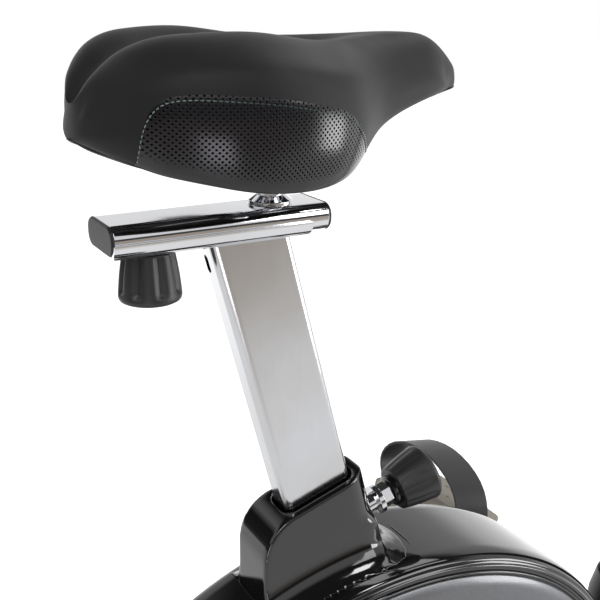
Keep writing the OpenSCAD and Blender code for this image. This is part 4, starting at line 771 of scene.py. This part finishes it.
def casing_profile():
    """Half section of the casing, as (distance from the middle, inset from the crown)."""
    shoulder = [(34 + 18 * math.sin(a), 7 * (1 - math.cos(a))) for a in (math.radians(6 * i) for i in range(1, 16))]
    bead_one = [(CASING_HALF + 2.6 * math.sin(math.pi * i / 10) ** 0.8, mix(8.0, 13.0, i / 10)) for i in range(1, 11)]
    bead_two = [(CASING_HALF + 2.2 * math.sin(math.pi * i / 10) ** 0.8, mix(15.0, 19.0, i / 10)) for i in range(11)]
    inner = CASING_HALF - CASING_WALL
    return [
        (0, 0), (17, 0), (34, 0), *shoulder, *bead_one, *bead_two, (CASING_HALF, 26), (CASING_HALF, 34), (inner, 34),
        (inner, 10), (46, 6), (38, 3.2), (0, CASING_WALL),
    ]


def panel_profile():
    """Section of a domed side panel, from its middle on the axis over its edge and back to the middle."""
    seat = CASING_HALF + PANEL_GAP
    reach = CASING_C - PANEL_INSET
    dome = [(seat + PANEL_DOME * (1 - k**4), CASING_C - k * reach) for k in PANEL_SHARES]
    outer = [(x + CASING_WALL, inset) for x, inset in dome]
    edge = [(CASING_HALF + 1.6, 20.6), (CASING_HALF + 1.0, 20.1), (seat, PANEL_INSET), (seat, 23)]
    return [*outer, *edge, *reversed(dome)]


def spun_oval(profile, side, closed):
    """Turns a section about the casing's middle and draws the circle out to the casing's oval."""
    bm = bmesh.new()
    points = [(side * x, 0, CASING_C - inset) for x, inset in profile]
    spin_section(bm, points, (1, 0, 0), (0, 0, 0), 144, closed)
    for vert in bm.verts:
        r = max(math.hypot(vert.co.y, vert.co.z) / MM, 1e-4)
        vert.co.y = vert.co.y * (r + (CASING_A - CASING_C) * min(r / 60, 1)) / r + CASING_Y * MM
        vert.co.z += CASING_Z * MM
    bmesh.ops.recalc_face_normals(bm, faces=bm.faces)
    return bm


class BIKE_OT_casing(bpy.types.Operator):
    """Makes the two gloss casing halves with their beads, and the two domed panels"""

    bl_idname = "bike.casing"
    bl_label = "Casing"

    def execute(self, context):
        for side, word in SIDES:
            bm = spun_oval(casing_profile(), side, True)
            shell = finish_piece(f"casing_{word}_moulded", bm, f"casing_{word}", "abs_gloss_moulded", 50)
            cut(shell, block(*BEAM_SLOT))
            cut(shell, block(*POST_SLOT, (-POST_LEAN, POST_TOP_Y, POST_TOP_Z)))
            bm = spun_oval(panel_profile(), side, False)
            panel = finish_piece(f"side_panel_{word}_lacquered", bm, f"side_panel_{word}", "abs_metallic_lacquer", 50)
            hole = bmesh.new()
            bmesh.ops.create_cone(
                hole, cap_ends=True, segments=64, radius1=CRANK_HOLE * MM, radius2=CRANK_HOLE * MM, depth=0.25,
                matrix=Matrix.Translation((0, CRANK_Y * MM, CRANK_Z * MM)) @ Matrix.Rotation(math.pi / 2, 4, "Y"),
            )
            cut(panel, hole)
        return {"FINISHED"}


# The ellipse that rounds the collar's front corners: how far its middle lies ahead of the post's axis, its half width
# and half length, and the height above which it begins, all in millimetres.
FRONT_MIDDLE, FRONT_HALF_WIDTH, FRONT_HALF_LENGTH, FRONT_START_Z = 20, 24, 25, 578
COLLAR_GRID, COLLAR_PASSES = 1.2, 14


class BIKE_OT_collar(bpy.types.Operator):
    """Melts the collar's edges into one moulding, with a rounded front and soft radii"""

    bl_idname = "bike.collar"
    bl_label = "Seat collar"

    def execute(self, context):
        piece = finish_piece("seat_collar_moulded", merged_copy("seat_collar"), "seat_collar", "abs_gloss_moulded",
                             ALL_SMOOTH)
        grid = piece.modifiers.new("even grid", "REMESH")
        grid.mode = "VOXEL"
        grid.voxel_size = COLLAR_GRID * MM
        apply_modifier(piece, grid)
        bm = bmesh.new()
        bm.from_mesh(piece.data)
        lean = math.radians(POST_LEAN)
        for vert in bm.verts:
            x, y, z = vert.co / MM
            ahead = ((y - POST_TOP_Y) * math.cos(lean) - (z - POST_TOP_Z) * math.sin(lean)) + FRONT_MIDDLE
            reach = math.hypot(x / FRONT_HALF_WIDTH, ahead / FRONT_HALF_LENGTH)
            if ahead < 0 and z > FRONT_START_Z and reach > 1:
                move = (1 / reach - 1) * smooth((z - FRONT_START_Z) / 16)
                vert.co += Vector((x, ahead * math.cos(lean), -ahead * math.sin(lean))) * move * MM
        for _ in range(COLLAR_PASSES):
            relax(bm, bm.verts, 0.5)
        bm.to_mesh(piece.data)
        bm.free()
        piece.data.shade_smooth()
        return {"FINISHED"}


# ---------- knobs ----------

# A knob's outline from its root to its rounded end, as shares of its length and of its radius.
KNOB_PROFILE = (
    (0.0, 0.0), (0.0, 0.55), (0.0, 0.78), (0.015, 0.81), (0.1, 0.84), (0.25, 0.885), (0.4, 0.925), (0.55, 0.957),
    (0.68, 0.98), (0.78, 0.995), (0.84, 1.0), (0.88, 0.985), (0.91, 0.95), (0.935, 0.87), (0.965, 0.66), (0.99, 0.36),
    (1.0, 0.0),
)
BARREL_END = 0.84
# Distances of the height knob and of its ring from the pivot, in millimetres, and the knob's length.
HEIGHT_KNOB_START, HEIGHT_RING_START, HEIGHT_KNOB_LENGTH = 74, 69, 38
# The ring's section, as distance along the pin and radius.
RING_PROFILE = ((0, 7), (0, 12.5), (0.8, 13.5), (3.4, 13.5), (4.2, 12.5), (5.2, 12.5), (5.2, 7))


def fluted_knob(node, start, out, radius, length, flutes, depth, narrow):
    """A hand knob: a barrel that widens from narrow to a rounded end, with soft grooves that run out before the end."""
    bm = bmesh.new()
    side = out.orthogonal().normalized()
    other = out.cross(side)
    last = len(KNOB_PROFILE) - 1

    def place(u, v):
        i = min(int(v * last), last - 1)
        run, reach = (mix(KNOB_PROFILE[i][n], KNOB_PROFILE[i + 1][n], v * last - i) for n in (0, 1))
        if reach > 0.5 and run < BARREL_END:
            reach = 1 - (1 - reach) * (1 - narrow) / 0.2
        gap = (u * flutes + 0.5) % 1 - 0.5
        fade = smooth(run / 0.04) * smooth((0.82 - run) / 0.14)
        r = radius * reach - depth * fade * math.exp(-((gap / 0.2) ** 2))
        return start + out * (length * run) + (side * math.cos(u * math.tau) + other * math.sin(u * math.tau)) * r

    surface(bm, 24 * flutes, 4 * last, place)
    close(bm)
    finish_piece(f"{node}_fluted", bm, node, "nylon_satin_moulded", 60)


class BIKE_OT_knobs(bpy.types.Operator):
    """Makes the two fluted knobs and the ring under the height knob"""

    bl_idname = "bike.knobs"
    bl_label = "Knobs"

    def execute(self, context):
        low, high = (Vector(corner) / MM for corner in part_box("slider_knob"))
        top = Vector(((low.x + high.x) / 2, (low.y + high.y) / 2, high.z))
        fluted_knob("slider_knob", top, Vector((0, 0, -1)), (high.x - low.x) / 2, high.z - low.z + 3.5, 8, 2.4, 0.8)
        turn = JOINTS["height_knob_turn"]
        out, pivot = Vector(turn["axis"]).normalized(), Vector(turn["pos_m"]) / MM
        low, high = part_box("height_knob")
        fluted_knob("height_knob", pivot + out * HEIGHT_KNOB_START, out, (high[0] - low[0]) / 2 / MM,
                    HEIGHT_KNOB_LENGTH, 12, 0.6, 0.76)
        start = pivot + out * HEIGHT_RING_START
        side = out.orthogonal().normalized()
        ring = bmesh.new()
        spin_section(ring, [start + out * along + side * radius for along, radius in RING_PROFILE], out, start, 48)
        finish_piece("height_knob_ring", ring, "height_knob", "abs_gloss_moulded", stands_in=False)
        return {"FINISHED"}


class BIKE_OT_machined(bpy.types.Operator):
    """Gives the rigid parts smooth round faces and rounded edges"""

    bl_idname = "bike.machined"
    bl_label = "Rigid parts"

    def execute(self, context):
        for material, parts in MACHINED.items():
            for node, edge in parts.items():
                machined_part(node, material, edge, TRIMMED.get(node, 0.0))
        return {"FINISHED"}


# ---------- stage ----------

CAMERA_PLACE = (-0.5656, 0.4065, 1.0017)
CAMERA_YAW, CAMERA_PITCH, CAMERA_ROLL = math.radians(29.93), math.radians(18.61), math.radians(0.51)
# Level directions of the floor and the room, named for the rider's sides.
RIGHT_REAR, LEFT_FRONT, LEFT_REAR = (-0.8665, 0.499, 0), (0.8665, -0.499, 0), (0.745, 0.665, 0)
WHITE, VIOLET = (1, 1, 1), (0.93, 0.9, 1.0)
# Name, place, aim, width in metres, power in watts and colour of each lamp.
LAMPS = (
    ("key", (-1.5, 1.6, 2.6), (0, 0.1, 0.8), 1.4, 26.6, WHITE),
    ("fill", (-1.8, -1.5, 1.9), (0, 0.0, 0.8), 1.2, 17.1, WHITE),
    ("nose_light", (0.25, -1.1, 2.4), (0, 0.0, 0.8), 1.1, 10.26, WHITE),
    ("low_front_strip", (-0.78, -1.19, 0.62), (-0.1, 0.1, 0.9), 0.5, 6.5, WHITE),
    ("low_rear_strip", (-1.04, 0.8, 0.28), (-0.1, 0.19, 0.9), 0.45, 2.1, VIOLET),
    ("small_top_panel", (-0.66, -0.49, 1.93), (0, 0.04, 0.55), 0.22, 2.0, WHITE),
)
# What metal sees of the floor, from below the object outwards: distance and colour.
FLOOR_FADE = (
    (0.16, (0.97, 0.97, 0.97, 1)), (0.21, (0.8, 0.78, 0.75, 1)), (0.3, (0.5, 0.46, 0.41, 1)),
    (0.5, (0.4, 0.35, 0.3, 1)),
)


def add_camera(scene, lens):
    """A camera at the rider's right rear that looks down a little on the saddle and the post."""
    level = math.cos(CAMERA_PITCH)
    look = Vector((math.cos(CAMERA_YAW) * level, -math.sin(CAMERA_YAW) * level, -math.sin(CAMERA_PITCH)))
    right = Vector((-math.sin(CAMERA_YAW), -math.cos(CAMERA_YAW), 0))
    up = right.cross(look)
    across = math.cos(CAMERA_ROLL) * right + math.sin(CAMERA_ROLL) * up
    above = math.cos(CAMERA_ROLL) * up - math.sin(CAMERA_ROLL) * right
    camera = bpy.data.objects.new("camera", bpy.data.cameras.new("camera"))
    camera.data.lens = lens
    camera.data.sensor_width = 36.0
    turn = Matrix((across, above, -look)).transposed().to_4x4()
    camera.matrix_world = Matrix.Translation(CAMERA_PLACE) @ turn
    scene.collection.objects.link(camera)
    scene.camera = camera


def add_lamp(scene, name, spot, aim, size, power, tint):
    """A square lamp that the camera doesn't see."""
    lamp = bpy.data.lights.new(name, "AREA")
    lamp.shape = "RECTANGLE"
    lamp.size = lamp.size_y = size
    lamp.energy = power
    lamp.color = tint
    made = bpy.data.objects.new(name, lamp)
    made.location = spot
    made.rotation_euler = (Vector(aim) - Vector(spot)).to_track_quat("-Z", "Y").to_euler()
    made.visible_camera = False
    scene.collection.objects.link(made)


class BIKE_OT_stage(bpy.types.Operator):
    """Makes the floor, the lamps, the room and the camera"""

    bl_idname = "bike.stage"
    bl_label = "Stage"

    def execute(self, context):
        sizes, scene = context.scene.bike_stage, context.scene
        scene.view_settings.view_transform = "Standard"
        add_camera(scene, sizes.lens)
        bm = bmesh.new()
        bmesh.ops.create_circle(bm, cap_ends=True, segments=96, radius=sizes.floor)
        mesh = bpy.data.meshes.new("floor")
        bm.to_mesh(mesh)
        bm.free()
        floor = bpy.data.objects.new("floor", mesh)
        scene.collection.objects.link(floor)
        mesh.materials.append(floor_paint())
        for name, spot, aim, size, power, tint in LAMPS:
            add_lamp(scene, name, spot, aim, size, power * sizes.lamps, tint)
        world = bpy.data.worlds.new("room")
        scene.world = world
        world.use_nodes = True
        room_light(world.node_tree, sizes.sky)
        return {"FINISHED"}


def floor_paint():
    """Matt white floor: the lens sees it white but for the object's shadow; metal sees it fade to warm grey."""
    made = empty_material("white_studio_floor")
    tree = made.node_tree
    rays = add(tree, "ShaderNodeLightPath")
    place = add(tree, "ShaderNodeTexCoord").outputs["Object"]
    near = add(tree, "ShaderNodeVectorMath", {0: place, 1: RIGHT_REAR}, operation="DOT_PRODUCT").outputs["Value"]
    share = add(tree, "ShaderNodeMath", {0: near, 1: 5.0}, operation="DIVIDE").outputs[0]
    fade = add(tree, "ShaderNodeValToRGB", {0: share})
    ramp = fade.color_ramp.elements
    ramp.new(FLOOR_FADE[1][0])
    ramp.new(FLOOR_FADE[2][0])
    for stop, (position, colour) in zip(ramp, FLOOR_FADE):
        stop.position, stop.color = position, colour
    matt = add(tree, "ShaderNodeBsdfDiffuse", {"Color": (0.8, 0.8, 0.8, 1)}).outputs[0]
    lift = add(tree, "ShaderNodeEmission", {"Color": (1, 1, 1, 1), "Strength": 0.75})
    seen = add(tree, "ShaderNodeAddShader", {0: matt, 1: lift.outputs[0]}).outputs[0]
    away = add(tree, "ShaderNodeVectorMath", {0: place, 1: LEFT_REAR}, operation="DOT_PRODUCT").outputs["Value"]
    dim = add(tree, "ShaderNodeMapRange", {"Value": away, "From Min": 2.5, "From Max": 5.0, "To Min": 1.0,
                                           "To Max": 0.1}, interpolation_type="SMOOTHSTEP")
    beyond = add(tree, "ShaderNodeMapRange", {"Value": near, "From Min": -0.4, "From Max": -1.4, "To Min": 1.0,
                                              "To Max": 1.6}, interpolation_type="SMOOTHSTEP")
    level = add(tree, "ShaderNodeMath", {0: dim.outputs[0], 1: beyond.outputs[0]}, operation="MULTIPLY").outputs[0]
    mirrored = add(tree, "ShaderNodeEmission", {"Color": fade.outputs[0], "Strength": level}).outputs[0]
    shown = add(tree, "ShaderNodeMixShader", {0: rays.outputs["Is Camera Ray"], 1: matt, 2: seen}).outputs[0]
    paint = add(tree, "ShaderNodeMixShader", {0: rays.outputs["Is Glossy Ray"], 1: shown, 2: mirrored}).outputs[0]
    add(tree, "ShaderNodeOutputMaterial", {"Surface": paint})
    return made


def room_light(tree, strength):
    """Even light on the bike; the lens sees white; metal sees a white backdrop, a bright skyline and a dark ceiling."""
    tree.nodes.clear()
    rays = add(tree, "ShaderNodeLightPath")
    place = add(tree, "ShaderNodeTexCoord").outputs["Generated"]
    height = add(tree, "ShaderNodeSeparateXYZ", {0: place}).outputs["Z"]
    ahead = add(tree, "ShaderNodeVectorMath", {0: place, 1: LEFT_FRONT}, operation="DOT_PRODUCT").outputs["Value"]
    far = add(tree, "ShaderNodeMapRange", {"Value": ahead, "From Min": -0.15, "From Max": 0.25},
              interpolation_type="SMOOTHSTEP").outputs[0]
    low = add(tree, "ShaderNodeMapRange", {"Value": height, "From Min": 0.5, "From Max": 0.68, "To Min": 1.0,
                                           "To Max": 0.0}, interpolation_type="SMOOTHSTEP").outputs[0]
    rise = add(tree, "ShaderNodeMapRange", {"Value": height, "From Min": 0.1, "From Max": 0.22},
               interpolation_type="SMOOTHSTEP").outputs[0]
    backdrop = add(tree, "ShaderNodeMath", {0: far, 1: low}, operation="MULTIPLY").outputs[0]
    panel = add(tree, "ShaderNodeMath", {0: rise, 1: low}, operation="MULTIPLY").outputs[0]
    lit = add(tree, "ShaderNodeMath", {0: backdrop, 1: panel}, operation="MAXIMUM").outputs[0]
    toward = add(tree, "ShaderNodeVectorMath", {0: place, 1: (*LEFT_REAR[:2], 0.06)}, operation="DOT_PRODUCT")
    flag = add(tree, "ShaderNodeMapRange", {"Value": toward.outputs["Value"], "From Min": 0.9, "From Max": 0.965,
                                            "To Min": 1.0, "To Max": 0.0}, interpolation_type="SMOOTHSTEP").outputs[0]
    shown = add(tree, "ShaderNodeMath", {0: lit, 1: flag}, operation="MULTIPLY").outputs[0]
    shade = add(tree, "ShaderNodeMapRange", {"Value": shown, "To Min": 0.035, "To Max": 0.85}).outputs[0]
    skyline = add(tree, "ShaderNodeMapRange", {"Value": height, "From Min": 0.02, "From Max": 0.26, "To Min": 1.8,
                                               "To Max": 1.0}, interpolation_type="SMOOTHSTEP").outputs[0]
    glow = add(tree, "ShaderNodeMath", {0: shade, 1: skyline}, operation="MULTIPLY").outputs[0]
    mirrored, soft, white = (
        add(tree, "ShaderNodeBackground", {"Color": (1, 1, 1, 1), "Strength": level}).outputs[0]
        for level in (glow, strength, 1.0)
    )
    lighting = add(tree, "ShaderNodeMixShader", {0: rays.outputs["Is Glossy Ray"], 1: soft, 2: mirrored}).outputs[0]
    room = add(tree, "ShaderNodeMixShader", {0: rays.outputs["Is Camera Ray"], 1: lighting, 2: white}).outputs[0]
    add(tree, "ShaderNodeOutputWorld", {"Surface": room})


class BIKE_PT_dressing(bpy.types.Panel):
    """Lists the steps of the dressing"""

    bl_label = "Exercise bike"
    bl_idname = "BIKE_PT_dressing"
    bl_space_type = "VIEW_3D"
    bl_region_type = "UI"
    bl_category = "Bike"

    def draw(self, context):
        for step in STEPS:
            self.layout.operator(step.bl_idname)


GROUPS = {"bike_saddle": SaddleSizes, "bike_finishes": FinishSizes, "bike_stage": StageSizes}
STEPS = (
    BIKE_OT_stage, BIKE_OT_finishes, BIKE_OT_saddle_cover, BIKE_OT_saddle_patches, BIKE_OT_saddle_stitches,
    BIKE_OT_saddle_rails, BIKE_OT_casing, BIKE_OT_collar, BIKE_OT_knobs, BIKE_OT_machined,
)


def register():
    for name, group in GROUPS.items():
        bpy.utils.register_class(group)
        setattr(bpy.types.Scene, name, PointerProperty(type=group))
    for item in (*STEPS, BIKE_PT_dressing):
        bpy.utils.register_class(item)


def unregister():
    for item in (BIKE_PT_dressing, *reversed(STEPS)):
        bpy.utils.unregister_class(item)
    for name, group in GROUPS.items():
        delattr(bpy.types.Scene, name)
        bpy.utils.unregister_class(group)


def main():
    register()
    for step in STEPS:
        area, name = step.bl_idname.split(".")
        getattr(getattr(bpy.ops, area), name)()


if __name__ == "__main__":
    main()
